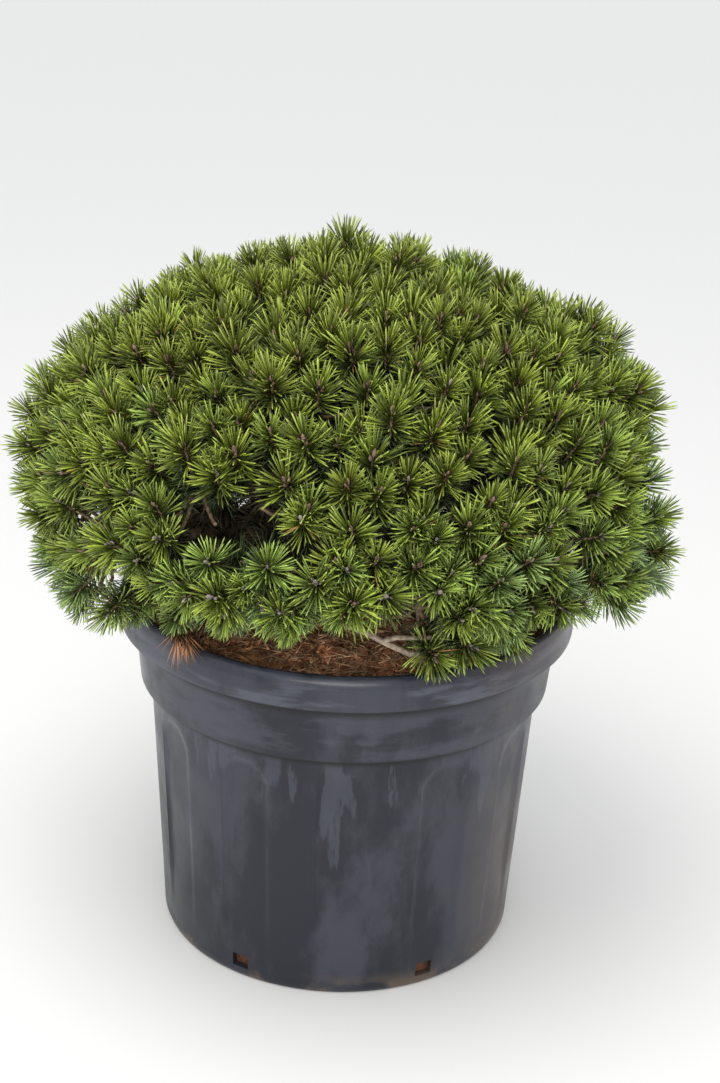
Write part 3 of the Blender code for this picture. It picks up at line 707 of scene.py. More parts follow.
def soil_finish(soil):
    paint = Paint("potting_bark", soil.dark, 0.92, 0.2)
    base = paint.mix(paint.ramp(paint.cloud(45.0, 6.0, 0.7), 0.40, 0.62), soil.dark, soil.warm)
    # The soil painted darker from the rim down to the band and below
    deeper_down = paint.ramp(paint.along("Z"), POT_LIP_Z, POT_BAND_Z, 0.0, 0.9)
    base = paint.mix(deeper_down, base, toned(soil.dark, 0.3))
    return paint.finish(base, None, paint.bump(paint.cloud(160.0, 5.0, 0.7), 0.004))


def clouded_finish(name, tint, dark, surface, pattern, grain):
    """Two tones of a colour in a cloud over a fine relief."""
    paint = Paint(name, tint, *surface)
    scale, detail, low, high = pattern
    base = paint.mix(paint.ramp(paint.cloud(scale, detail), low, high), dark, tint)
    return paint.finish(base, None, paint.bump(paint.cloud(grain[0], 3.0), grain[1]))


def chip_finish(name, dark, light):
    return clouded_finish(name, light, dark, (0.85, 0.25), (28.0, 3.0, 0.40, 0.60), (600.0, 0.0008))


def wood_finish(name, tint):
    """Thin bark of a twig, ringed with old leaf scars."""
    dark = toned(tint, 0.55)
    return clouded_finish(name, tint, dark, (0.80, 0.3), (220.0, 4.0, 0.38, 0.62), (500.0, 0.0012))


def needle_finish(name, green, roughness=0.30, foot_shade=0.36):
    """Waxy needles, each pair lighter or darker at random as painted highlight and shade, with painted shade
    towards the foot.
    """
    paint = Paint(name, green, roughness)
    light = tuple(channel * share for channel, share in zip(green, (2.30, 2.15, 2.10)))
    base = paint.mix(paint.ramp(paint.attribute("shade"), 0.05, 1.0), toned(green, 0.40), light)
    out_of_foot_shade = paint.ramp(paint.attribute("along"), 0.05, 0.60)
    return paint.finish(paint.mix(out_of_foot_shade, toned(green, foot_shade), base))


def bark_finish(bark):
    """Grey-brown plates over dark cracks."""
    paint = Paint("bark", bark.bark, 0.88, 0.25)
    plates = paint.cells(paint.stretched((120.0, 120.0, 55.0)))
    shade = paint.mix(paint.ramp(plates, 0.25, 0.62), bark.bark, bark.crack)
    pale = paint.ramp(paint.cloud(34.0, 4.0), 0.50, 0.72, 0.0, 0.6)
    shade = paint.mix(pale, shade, toned(bark.bark, 1.7))
    return paint.finish(shade, None, paint.bump(plates, 0.003, 0.8))


# Geometry Nodes

class Rule(Tree):
    """A Geometry Nodes tree being laid out from its inputs to its output."""

    def __init__(self, name, *inputs):
        super().__init__(bpy.data.node_groups.new(name, "GeometryNodeTree"))
        self.tree.is_modifier = True
        for kind, *labels in (("Geometry", "Geometry"), ("Material", "Finish"), *inputs):
            for label in labels:
                self.tree.interface.new_socket(label, in_out="INPUT", socket_type="NodeSocket" + kind)
        self.tree.interface.new_socket("Geometry", in_out="OUTPUT", socket_type="NodeSocketGeometry")
        self.start = self.tree.nodes.new("NodeGroupInput")
        self.end = self.tree.nodes.new("NodeGroupOutput")

    def given(self, label):
        return self.start.outputs[label]

    def named(self, name, kind="FLOAT"):
        return self.add("GeometryNodeInputNamedAttribute", {"Name": name}, data_type=kind)

    def drawn(self, low, high, offset):
        """A number drawn for each point, by a seed so far from the tree's own."""
        seed = self.math("ADD", self.given("Seed"), offset)
        return self.add("FunctionNodeRandomValue", {"Min": low, "Max": high, "Seed": seed}, data_type="FLOAT")

    def turned(self, rotation, axis, angle):
        """A rotation turned on about one of its own axes."""
        by = self.add("FunctionNodeAxisAngleToRotation", {"Axis": axis, "Angle": angle})
        return self.add(
            "FunctionNodeRotateRotation", {"Rotation": rotation, "Rotate By": by}, rotation_space="LOCAL")

    def strewn(self, points, rotation, size, **more):
        """One of the given pieces on each point."""
        pieces = self.add("GeometryNodeCollectionInfo", {
            "Collection": self.given("Pieces"), "Separate Children": True, "Reset Children": True})
        return self.finish(self.add("GeometryNodeInstanceOnPoints", {
            "Points": points, "Instance": pieces, "Pick Instance": True, "Rotation": rotation,
            "Scale": size, **more}))

    def finish(self, geometry):
        """Realise what was instanced, give it its material and end the tree."""
        whole = self.add("GeometryNodeRealizeInstances", {"Geometry": geometry})
        done = self.add("GeometryNodeSetMaterial", {"Geometry": whole, "Material": self.given("Finish")})
        self.tree.links.new(done, self.end.inputs["Geometry"])
        return self.tree


ABOUT_Y = (0.0, 1.0, 0.0)
ABOUT_Z = (0.0, 0.0, 1.0)


def tuft_rule():
    """Pairs of needles set spirally along a shoot, opening out towards its foot."""
    rule = Rule(
        "needle_tuft", ("Object", "Pair"), ("Int", "Pairs", "Seed"),
        ("Float", "Shoot Length", "Foot Polar", "Tip Polar", "Smallest", "Largest"))
    step = rule.math("DIVIDE", rule.given("Shoot Length"), rule.given("Pairs"))
    offset = rule.add("ShaderNodeCombineXYZ", {"Z": step})
    line = rule.add("GeometryNodeMeshLine", {"Count": rule.given("Pairs"), "Offset": offset})
    index = rule.add("GeometryNodeInputIndex")
    polar = rule.add("ShaderNodeMapRange", {
        "Value": rule.math("DIVIDE", index, rule.given("Pairs")),
        "To Min": rule.given("Foot Polar"), "To Max": rule.given("Tip Polar")})
    polar = rule.math("ADD", polar, rule.drawn(-0.17, 0.17, 0.0))
    azimuth = rule.math("MULTIPLY", index, GOLDEN_ANGLE)
    azimuth = rule.math("ADD", azimuth, rule.drawn(-0.5, 0.5, 31.0))
    euler = rule.add("ShaderNodeCombineXYZ", {"Y": polar, "Z": azimuth})
    rotation = rule.add("FunctionNodeEulerToRotation", {"Euler": euler})
    rotation = rule.turned(rotation, ABOUT_Z, rule.drawn(0.0, TURN, 57.0))
    size = rule.drawn(rule.given("Smallest"), rule.given("Largest"), 83.0)
    pair = rule.add("GeometryNodeObjectInfo", {"Object": rule.given("Pair")}, "Geometry")
    made = rule.add("GeometryNodeInstanceOnPoints", {
        "Points": line, "Instance": pair, "Rotation": rotation, "Scale": size})
    # Each pair gets a random share of painted shade and highlight
    return rule.finish(rule.add("GeometryNodeStoreNamedAttribute", {
        "Geometry": made, "Name": "shade", "Value": rule.drawn(0.0, 1.0, 11.0)},
        data_type="FLOAT", domain="INSTANCE"))


def spray_rule():
    """One of several pieces on each point, along its axis and turned about it."""
    rule = Rule("sprays", ("Collection", "Pieces"))
    rotation = rule.add("FunctionNodeAlignRotationToVector", {"Vector": rule.named("axis", "FLOAT_VECTOR")})
    rotation = rule.turned(rotation, ABOUT_Z, rule.named("turn"))
    which = {"Instance Index": rule.named("variant", "INT")}
    return rule.strewn(rule.given("Geometry"), rotation, rule.named("size"), **which)


def twig_rule():
    """A round twig along each line of points, as thick as each point says."""
    rule = Rule("twigs", ("Int", "Sides"))
    line = rule.add("GeometryNodeMeshToCurve", {"Mesh": rule.given("Geometry")})
    ring = rule.add("GeometryNodeCurvePrimitiveCircle", {"Resolution": rule.given("Sides"), "Radius": 1.0})
    solid = rule.add("GeometryNodeCurveToMesh", {
        "Curve": line, "Profile Curve": ring, "Scale": rule.named("thickness"), "Fill Caps": True})
    return rule.finish(rule.add("GeometryNodeSetShadeSmooth", {"Geometry": solid}))


def litter_rule():
    """Small pieces strewn over a surface, lying almost flat."""
    rule = Rule(
        "litter", ("Collection", "Pieces"), ("Int", "Seed"),
        ("Float", "Density", "Smallest", "Largest", "Tilt", "Lift"))
    spread = rule.tree.nodes.new("GeometryNodeDistributePointsOnFaces")
    for label, name in (("Geometry", "Mesh"), ("Density", "Density"), ("Seed", "Seed")):
        rule.tree.links.new(rule.given(label), spread.inputs[name])
    rise = rule.drawn(0.0, rule.given("Lift"), 23.0)
    raised = rule.add("GeometryNodeSetPosition", {
        "Geometry": spread.outputs["Points"], "Offset": rule.add("ShaderNodeCombineXYZ", {"Z": rise})})
    rotation = rule.turned(spread.outputs["Rotation"], ABOUT_Z, rule.drawn(0.0, TURN, 41.0))
    lean = rule.math("MULTIPLY", rule.given("Tilt"), rule.drawn(-1.0, 1.0, 67.0))
    rotation = rule.turned(rotation, ABOUT_Y, lean)
    return rule.strewn(raised, rotation, rule.drawn(rule.given("Smallest"), rule.given("Largest"), 5.0))


def evaluated_mesh(item):
    graph = bpy.context.evaluated_depsgraph_get()
    return bpy.data.meshes.new_from_object(item.evaluated_get(graph))


def grow(name, source, rule, given):
    """Run a tree on a helper object and keep its result as a plain mesh object."""
    modifier = source.modifiers.new("rule", "NODES")
    modifier.node_group = rule
    for item in rule.interface.items_tree:
        if item.in_out == "INPUT" and item.name in given:
            modifier[item.identifier] = given[item.name]
    mesh = evaluated_mesh(source)
    mesh.name = name
    if not mesh.polygons:
        raise RuntimeError(name + " came out empty")
    source.modifiers.remove(modifier)
    drop([source])
    return new_object(name, mesh)


def drop(items):
    for item in items:
        mesh = item.data
        bpy.data.objects.remove(item, do_unlink=True)
        if mesh.users == 0:
            bpy.data.meshes.remove(mesh)


def gather(name, items):
    """A collection of helper pieces for a tree to pick from."""
    helpers = bpy.data.collections.new(name)
    bpy.context.scene.collection.children.link(helpers)
    for item in items:
        bpy.context.scene.collection.objects.unlink(item)
        helpers.objects.link(item)
    return helpers


def scatter(helpers):
    """Remove a collection of helper pieces."""
    drop(list(helpers.objects))
    bpy.data.collections.remove(helpers)


def points_object(name, points):
    """Points that carry an axis, a size, a turn and the number of the piece to set there."""
    mesh = bpy.data.meshes.new(name)
    mesh.from_pydata([tuple(point[0]) for point in points], [], [])
    kinds = (("axis", "FLOAT_VECTOR"), ("size", "FLOAT"), ("turn", "FLOAT"), ("variant", "INT"))
    for column, (label, kind) in enumerate(kinds, 1):
        mark(mesh, label, numpy.array([point[column] for point in points]).ravel(), kind)
    return new_object(name, mesh)


def lines_object(name, lines):
    """Separate lines of points, each with a thickness that runs from its root to its tip."""
    vertices, edges, thickness = [], [], []
    for path, root, tip in lines:
        for step, point in enumerate(path):
            share = step / (len(path) - 1)
            if step > 0:
                edges.append((len(vertices) - 1, len(vertices)))
            vertices.append(tuple(point))
            thickness.append(root + (tip - root) * share)
    mesh = bpy.data.meshes.new(name)
    mesh.from_pydata(vertices, edges, [])
    mark(mesh, "thickness", thickness)
    return new_object(name, mesh)


# Plan of the crown

def dome_reach(unit):
    """Distance from the dome's middle to its needle tips in a direction."""
    azimuth, _ = angles(unit)
    level = hypot(unit.x, unit.y)
    end = DOME_DOWN_FRONT if cos(azimuth) > 0.0 else DOME_DOWN_BACK
    down = DOME_DOWN_SIDE + (end - DOME_DOWN_SIDE) * (0.5 + 0.5 * cos(2.0 * azimuth))
    height = DOME_UP if unit.z > 0.0 else down
    power = DOME_SQUARENESS
    reach = ((level / DOME_RADIUS) ** power + (abs(unit.z) / height) ** power) ** (-1.0 / power)
    for swell_azimuth, swell_polar, spread, rise in SWELLS:
        away = unit.angle(direction(radians(swell_azimuth), radians(swell_polar)))
        reach += rise * exp(-0.5 * (away / radians(spread)) ** 2)
    return reach


def dome_point(unit):
    return DOME_MIDDLE + unit * dome_reach(unit)


def dome_normal(unit, step=0.02):
    """Outward direction of the dome's surface."""
    side = unit.orthogonal().normalized()
    first, second = (
        dome_point((unit + way * step).normalized()) - dome_point((unit - way * step).normalized())
        for way in (side, unit.cross(side)))
    return first.cross(second).normalized()


def hollow_at(unit):
    """Whether the opening in a direction keeps its twigs, or None away from the openings."""
    azimuth, polar = angles(unit)
    for *bounds, keeps_twigs in HOLLOWS:
        hollow_azimuth, hollow_polar, half_width, half_height = (radians(bound) for bound in bounds)
        turn = (azimuth - hollow_azimuth + pi) % TURN - pi
        if hypot(turn / half_width, (polar - hollow_polar) / half_height) < 1.0:
            return keeps_twigs
    return None


def in_sight(point):
    """Whether a place lies in one of the lines of sight that stay open."""
    for x, z, room in SIGHTS:
        ahead = (Vector((x, 0.0, z)) - CAMERA_PLACE).normalized()
        arm = point - CAMERA_PLACE
        if (arm - ahead * arm.dot(ahead)).length < room:
            return True
    return False


def shoot_directions(count):
    """Directions that share the dome's surface evenly, by the golden angle."""
    polars = numpy.linspace(0.0, DOME_LOWEST_POLAR, 400)
    points = [dome_point(direction(radians(45.0), polar)) - DOME_MIDDLE for polar in polars]
    levels = numpy.array([hypot(point.x, point.y) for point in points])
    heights = numpy.array([point.z for point in points])
    slopes = numpy.hypot(numpy.diff(levels), numpy.diff(heights))
    strips = numpy.concatenate(([0.0], numpy.cumsum(0.5 * (levels[1:] + levels[:-1]) * slopes)))
    made = []
    for place_number in range(count):
        polar = float(numpy.interp((place_number + 0.5) / count, strips / strips[-1], polars))
        made.append(direction(place_number * GOLDEN_ANGLE, polar))
    return made


class Mass:
    """One mass of foliage, grown from the end of its own bough."""

    def __init__(self, name, unit, bough_z):
        self.name = name
        self.unit = unit
        self.bough_z = bough_z
        self.inner = MASS_INNER_SHARE * dome_reach(unit)
        self.shoots = []

    def foot(self):
        """Where the bough ends and the mass's stem starts."""
        return DOME_MIDDLE + self.unit * self.inner

    def heart(self):
        """End of the stem, in the middle of the mass."""
        outer = dome_reach(self.unit) - STEM_REACH
        return DOME_MIDDLE + self.unit * (0.5 * (self.inner + outer))


def make_masses():
    masses = [Mass("foliage_top", direction(0.0, 0.0), 0.0)]
    for ring, count, polar, first, whorl_z in RINGS:
        for place_number in range(count):
            unit = direction(radians(first) + TURN * place_number / count, radians(polar))
            bough_z = whorl_z + WHORL_STAGGER * (1.0 if place_number % 2 else -1.0)
            masses.append(Mass(f"foliage_{ring}_{place_number + 1}", unit, bough_z))
    return masses


class Shoot:
    """One growing tip: where its needles start, which way it points and how big it is."""

    def __init__(self, root, base, axis, size, height, sunken):
        self.root = root
        self.base = base
        self.axis = axis
        self.size = size
        self.height = height
        self.sunken = sunken

    def tip(self, crown):
        return self.base + self.axis * (crown.shoot_length * self.size)

    def light(self):
        """How yellow the needles are: more so high up, in front and to the left, partly their own colour and
        partly painted light where the light falls.
        """
        return self.height - LIGHT_AT_FRONT * self.base.y - LIGHT_AT_LEFT * self.base.x


def add_shoot(masses, unit, *shoot):
    """A shoot of the mass that lies nearest to its direction."""
    owner = max(masses, key=lambda mass: mass.unit.dot(unit))
    owner.shoots.append(Shoot(owner.heart(), *shoot))


def plan_crown(crown):
    """The masses, each with its shoots, the same every time."""
    rng = random.Random(41)
    masses = make_masses()
    room = sqrt(1.0 / crown.shoot_count)
    reach = crown.shoot_length + NEEDLE_REACH_SHARE * crown.needle_length
    for unit in shoot_directions(crown.shoot_count):
        side = unit.orthogonal().normalized()
        other = unit.cross(side)
        unit = unit + side * rng.uniform(-SHOOT_JITTER, SHOOT_JITTER) * room + other * rng.uniform(
            -SHOOT_JITTER, SHOOT_JITTER) * room
        unit.normalize()
        hollow = hollow_at(unit)
        wander = Vector([rng.uniform(-1.0, 1.0) for _ in range(3)])
        upturn = SHOOT_UPTURN + SHOOT_UPTURN_GAIN * ease(unit.z, -0.20, 0.30)
        axis = (dome_normal(unit) + upright(upturn) + wander * SHOOT_WANDER).normalized()
        size = rng.uniform(*SHOOT_SIZES) * (1.0 - HANGING_SHRINK * ease(-axis.z, 0.20, 0.70))
        base = dome_point(unit) - axis * (reach * size + rng.uniform(*SHOOT_DEPTHS))
        level = hypot(base.x, base.y)
        if level < OVER_POT_RADIUS + SHOOT_BESIDE_POT and base.z < OVER_POT_Z + SHOOT_OVER_POT:
            base.z = OVER_POT_Z + SHOOT_OVER_POT + rng.uniform(0.0, 0.010)
            axis.z = max(axis.z, LOWEST_AXIS_Z)
            axis.normalize()
        if hollow is False or in_sight(base + axis * crown.shoot_length):
            continue
        add_shoot(masses, unit, base, axis, size, unit.z, bool(hollow))
    for base, axis, size in FRONT_SPRAYS:
        base, axis = Vector(base), Vector(axis).normalized()
        unit = (base - DOME_MIDDLE).normalized()
        add_shoot(masses, unit, base, axis, size, FRONT_SPRAY_HEIGHT, False)
    return masses


def all_shoots(masses):
    return [shoot for mass in masses for shoot in mass.shoots]


def green_shoots(masses):
    """The shoots that still bear this year's needles."""
    return [shoot for shoot in all_shoots(masses) if not shoot.sunken]


def groups_of(mass):
    """The mass's shoots in small neighbouring groups, round its axis."""
    flat = mass.unit.orthogonal().normalized()
    other = mass.unit.cross(flat)

    def aside(shoot):
        arm = shoot.base - mass.heart()
        return arm.dot(flat), arm.dot(other)

    ordered = sorted(mass.shoots, key=lambda shoot: hypot(*aside(shoot)))
    inner, outer = ordered[:TWIGS_IN_GROUP], ordered[TWIGS_IN_GROUP:]
    outer.sort(key=lambda shoot: atan2(*aside(shoot)))
    groups = [inner]
    for start in range(0, len(outer), TWIGS_IN_GROUP):
        groups.append(outer[start:start + TWIGS_IN_GROUP])
    return [group for group in groups if group]


def twig_lines(masses, crown):
    """Branchlets and twigs from each mass's stem to its shoots."""
    rng = random.Random(97)
    lines = []
    for mass in masses:
        foot, heart = mass.foot(), mass.heart()
        for group in groups_of(mass):
            middle = sum((shoot.base for shoot in group), Vector()) / len(group)
            start = foot.lerp(heart, rng.uniform(0.25, 1.0))
            fork = start.lerp(middle, FORK_SHARE)
            leave = start.lerp(fork, 0.4) + mass.unit * BRANCHLET_RISE
            arrive = start.lerp(fork, 0.7) - upright(BRANCHLET_SAG)
            lines.append((curve_points(start, leave, arrive, fork, BRANCHLET_STEPS), *BRANCHLET_RADII))
            for shoot in group:
                span = (shoot.base - fork).length
                leave = fork + (fork - start).normalized() * (TWIG_LEAVE_SHARE * span)
                arrive = shoot.base - shoot.axis * (TWIG_ARRIVE_SHARE * span)
                lines.append((curve_points(fork, leave, arrive, shoot.base, TWIG_STEPS), *TWIG_RADII))
                if not shoot.sunken:
                    lines.append(([shoot.base, shoot.tip(crown)], TWIG_RADII[1], SHOOT_RADIUS))
    return lines


# Needles, buds and chips that the trees repeat

def needle_points(size, width, bend, fine):
    """One needle along +Z: three-sided, even in width and pointed, or a plain long point."""
    shares = ((0.0, 0.70), (0.86, 1.0)) if fine else ((0.0, 0.9),)
    vertices = []
    for share, thickness in shares:
        for side in range(3):
            angle = TURN * side / 3
            across = 0.5 * width * thickness
            vertices.append(Vector((
                bend * share * share + across * cos(angle), across * sin(angle), size * share)))
    vertices.append(Vector((bend, 0.0, size)))
    tip = len(vertices) - 1
    faces = [(2, 1, 0)]
    last = 0
    if fine:
        faces += [(0, 1, 4, 3), (1, 2, 5, 4), (2, 0, 3, 5)]
        last = 3
    for side in range(3):
        faces.append((last + side, last + (side + 1) % 3, tip))
    return vertices, faces


def needle_pair(name, crown, fine, opening, bend):
    """Two needles from one sheath, opening a little towards their tips."""
    vertices, faces = [], []
    for side in (-1.0, 1.0):
        points, sides = needle_points(crown.needle_length, crown.needle_width, bend, fine)
        turn = Matrix.Rotation(side * opening, 3, "Y") @ Matrix.Rotation(side * QUARTER, 3, "Z")
        first = len(vertices)
        vertices += [turn @ point for point in points]
        faces += [tuple(first + index for index in face) for face in sides]
    mesh = new_mesh(name, vertices, faces)
    mesh.shade_smooth()
    mark(mesh, "along", [min(1.0, point.z / crown.needle_length) for point in vertices])
    return new_object(name, mesh)


def make_tufts(prefix, crown, finish):
    """Several needle tufts to pick from, grown by one rule."""
    variants, pairs, fine, foot_polar, tip_polar, shoot_length, seed = TUFTS[prefix]
    rule = tuft_rule()
    tufts = []
    for variant in range(variants):
        pair = needle_pair("needle_pair", crown, fine, *PAIR_FORM)
        source = new_object("shoot_line", bpy.data.meshes.new("shoot_line"))
        tufts.append(grow(f"{prefix}_{variant}", source, rule, {
            "Pair": pair, "Pairs": pairs or crown.pair_count,
            "Smallest": NEEDLE_SIZES[0], "Largest": NEEDLE_SIZES[1],
            "Shoot Length": shoot_length or crown.shoot_length, "Foot Polar": radians(foot_polar),
            "Tip Polar": radians(tip_polar), "Seed": seed + variant, "Finish": finish}))
        drop([pair])
    bpy.data.node_groups.remove(rule)
    return gather(prefix + "_set", tufts)


def bud_object(name):
    """A large bud with two small ones at its foot."""
    rng = random.Random(5)
    vertices, faces = [], []
    for foot, radius, size in BUDS:
        foot = Vector(foot)
        lean = Vector((foot.x * BUD_SPLAY, foot.y * BUD_SPLAY, 0.0))
        path, radii = [], []
        for share, thickness in BUD_PROFILE:
            path.append(foot + lean * share + upright(size * share))
            radii.append(radius * thickness * rng.uniform(0.94, 1.06))
        points, sides = tube(path, radii, BUD_SIDES, first=len(vertices))
        vertices += points
        faces += sides
    mesh = new_mesh(name, vertices, faces)
    mesh.shade_smooth()
    return new_object(name, mesh)


def chip_object(name, rng, long, wide):
    """A broken piece of bark with uneven corners."""
    corners = []
    for z in (-1.0, 1.0):
        for x, y in ((-1.0, -1.0), (1.0, -1.0), (1.0, 1.0), (-1.0, 1.0)):
            corners.append(Vector((
                0.5 * long * x * rng.uniform(0.45, 1.0), 0.5 * wide * y * rng.uniform(0.45, 1.0),
                0.5 * CHIP_THICKNESS * z * rng.uniform(0.6, 1.0))))
    return new_object(name, new_mesh(name, corners, BOX_FACES))


def fallen_pair(name, crown):
    """A dry pair of needles lying along X."""
    pair = needle_pair(name, crown, False, *FALLEN_FORM)
    middle = Matrix.Translation(upright(-0.5 * crown.needle_length))
    pair.data.transform(Matrix.Rotation(QUARTER, 4, "Y") @ middle)
    return pair


# Stage

def make_lamp(name, place_at, target, size, power, tint):
    lamp = bpy.data.lights.new(name, "AREA")
    lamp.shape = "ELLIPSE"
    lamp.size, lamp.size_y = size
    lamp.energy = power
    lamp.color = tint
    item = new_object(name, lamp)
    item.location = place_at
    item.rotation_euler = (Vector(target) - item.location).to_track_quat("-Z", "Y").to_euler()


def make_camera():
    """Camera at its pitch and slight roll."""
    camera = bpy.data.cameras.new("camera")
    camera.lens = CAMERA_LENS
    camera.sensor_width = CAMERA_SENSOR
    camera.sensor_fit = "AUTO"
    item = new_object("camera", camera)
    ahead = Vector((0.0, cos(CAMERA_PITCH), -sin(CAMERA_PITCH)))
    level = Vector((1.0, 0.0, 0.0))
    up = level.cross(ahead)
    right = level * cos(CAMERA_ROLL) + up * sin(CAMERA_ROLL)
    top = up * cos(CAMERA_ROLL) - level * sin(CAMERA_ROLL)
    turn = Matrix((right, top, -ahead)).transposed()
    item.matrix_world = Matrix.Translation(CAMERA_PLACE) @ turn.to_4x4()
    bpy.context.scene.camera = item


class PINE_OT_stage(Operator):
    """Lay the pale floor, light it softly and set the camera"""
    bl_idname = "pine.stage"
    bl_label = "Stage"

    def execute(self, context):
        stage = context.scene.pine_stage
        paint = Paint("floor", stage.floor_colour, 0.60, 0.3)
        ring = ring_points(stage.floor_radius, FLOOR_Z, FLOOR_SIDES)
        floor = new_object("floor", new_mesh("floor", ring, [tuple(range(FLOOR_SIDES))], paint.finish()))
        world = bpy.data.worlds.new("soft_light")
        world.use_nodes = True
        background = world.node_tree.nodes["Background"]
        background.inputs["Color"].default_value = SKY_TINT
        background.inputs["Strength"].default_value = stage.sky_strength
        context.scene.world = world
        context.scene.view_settings.view_transform = "Standard"
        for name, place_at, target, size, share, tint in LAMPS:
            make_lamp(name, place_at, target, size, share * stage.lamp_power, tint)
        make_camera()
        return {"FINISHED"}


# Pot

def panel_share(azimuth, z):
    """How far the wall is pressed in at a place, from 0 to 1, and how near an edge it is."""
    turn = (azimuth - FLUTE_FIRST_EDGE) % (TURN / FLUTE_COUNT)
    aside = abs(turn - FLUTE_HALF_WIDTH)
    across = 1.0 - ease(aside, FLUTE_HALF_WIDTH - FLUTE_EDGE, FLUTE_HALF_WIDTH + FLUTE_EDGE)
    arch = FLUTE_ARCH * min(1.0, aside / FLUTE_HALF_WIDTH) ** FLUTE_ARCH_POWER
    top = 1.0 - ease(z, FLUTE_TOP_Z - arch - FLUTE_SLOPE, FLUTE_TOP_Z - arch)
    pressed = across * top
    edge = 4.0 * pressed * (1.0 - pressed) * ease(z, FLUTE_FOOT_Z, 2.0 * FLUTE_LOW_Z)
    return pressed * ease(z, FLUTE_FOOT_Z, FLUTE_LOW_Z), edge


def pot_rings(pot):
    """Profile of the pot from its base, over the rim and down to its floor: radius, height, and
    whether the panels are pressed in there."""
    rows = [(POT_BASE_RADIUS, 0.0, 0.0), (POT_BASE_RADIUS + 0.0015, 0.0012, 0.0)]
    for step in range(POT_BODY_STEPS + 1):
        share = step / POT_BODY_STEPS
        z = POT_FOOT_HEIGHT + (POT_BAND_Z - 0.004 - POT_FOOT_HEIGHT) * share
        rows.append((POT_FOOT_RADIUS + (POT_BODY_TOP_RADIUS - POT_FOOT_RADIUS) * share, z, 1.0))
    rows += [
        (POT_BODY_TOP_RADIUS + 0.001, POT_BAND_Z - 0.0015, 0.0),
        (POT_BAND_RADIUS - 0.0015, POT_BAND_Z - 0.0005, 0.0),
        (POT_BAND_RADIUS, POT_BAND_Z + 0.001, 0.0),
        (POT_BAND_RADIUS + 0.0004, POT_BAND_Z + 0.004, 0.0),
        (0.5 * (POT_BAND_RADIUS + POT_BAND_TOP_RADIUS), 0.5 * (POT_BAND_Z + POT_LIP_Z), 0.0),
        (POT_BAND_TOP_RADIUS - 0.0004, POT_LIP_Z - 0.007, 0.0),
        (POT_BAND_TOP_RADIUS, POT_LIP_Z - 0.0035, 0.0),
        (POT_BAND_TOP_RADIUS + 0.004, POT_LIP_Z - 0.0025, 0.0),
        (pot.rim_radius - 0.0035, POT_LIP_Z - 0.0005, 0.0),
        (pot.rim_radius - 0.0008, POT_LIP_Z + 0.0012, 0.0),
        (pot.rim_radius, POT_LIP_Z + 0.005, 0.0),
        (pot.rim_radius - 0.0004, POT_LIP_Z + 0.012, 0.0),
    ]
    crest = 0.5 * (pot.rim_radius + POT_MOUTH_RADIUS)
    roll_z = POT_LIP_Z + 0.019
    for step in range(1, RIM_STEPS + 1):
        angle = QUARTER * step / RIM_STEPS
        rows.append((crest + (pot.rim_radius - 0.0006 - crest) * cos(angle),
                     roll_z + (pot.rim_top - roll_z) * sin(angle), 0.0))
    for step in range(1, MOUTH_STEPS + 1):
        angle = QUARTER * step / MOUTH_STEPS
        rows.append((crest - (crest - POT_MOUTH_RADIUS) * sin(angle),
                     pot.rim_top - MOUTH_FALL + MOUTH_FALL * cos(angle), 0.0))
    rows += [
        (POT_BAND_TOP_RADIUS - 1.6 * POT_WALL, POT_LIP_Z, 0.0),
        (POT_BAND_RADIUS - 1.6 * POT_WALL, POT_BAND_Z + 0.006, 0.0),
        (POT_BODY_TOP_RADIUS - pot.panel_depth - POT_WALL, POT_BAND_Z - 0.006, 0.0),
        (POT_FOOT_RADIUS - pot.panel_depth - POT_WALL, POT_FLOOR, 0.0),
    ]
    return rows


def cut_drains(item):
    """Cut the square drain holes through the wall."""
    blocks = []
    for hole in range(DRAIN_COUNT):
        azimuth = DRAIN_FIRST_AZIMUTH + TURN * hole / DRAIN_COUNT
        along = polar_point(1.0, azimuth, 0.0)
        across = Vector((cos(azimuth), sin(azimuth), 0.0)) * (0.5 * DRAIN_WIDTH)
        corners = []
        for distance in (DRAIN_INNER_RADIUS, DRAIN_OUTER_RADIUS):
            for side, z in ((-1, DRAIN_LOW_Z), (1, DRAIN_LOW_Z), (1, DRAIN_HIGH_Z), (-1, DRAIN_HIGH_Z)):
                corners.append(along * distance + across * side + upright(z))
        blocks.append(new_object("drain_block", new_mesh("drain_block", corners, BOX_FACES)))
    helpers = gather("drain_blocks", blocks)
    cut = item.modifiers.new("drains", "BOOLEAN")
    cut.operation = "DIFFERENCE"
    cut.solver = "EXACT"
    cut.operand_type = "COLLECTION"
    cut.collection = helpers
    mesh = evaluated_mesh(item)
    item.modifiers.remove(cut)
    old = item.data
    item.data = mesh
    bpy.data.meshes.remove(old)
    scatter(helpers)


class PINE_OT_pot(Operator):
    """Mould the black pot with its panels, band, rolled rim and drain holes"""
    bl_idname = "pine.pot"
    bl_label = "Pot"

    def execute(self, context):
        pot = context.scene.pine_pot
        rings, edge_highlight = [], []
        for radius, z, pressed in pot_rings(pot):
            ring = []
            for column in range(POT_COLUMNS):
                azimuth = TURN * column / POT_COLUMNS
                share, edge = panel_share(azimuth, z)
                ring.append(polar_point(radius - pot.panel_depth * share * pressed, azimuth, z))
                edge_highlight.append(edge * pressed)
            rings.append(ring)
        vertices, faces = closed_rings(rings, upright(0.0), upright(POT_FLOOR))
        mesh = new_mesh("nursery_pot", vertices, faces, plastic_finish(pot))
        # Nearness to a panel edge, where the painted highlight along the edges goes
        mark(mesh, "edge_highlight", edge_highlight + [0.0, 0.0])
        item = new_object("nursery_pot", mesh)
        cut_drains(item)
        smooth(item)
        place(item, ["pot"], "pot_plastic")
        return {"FINISHED"}


# Soil

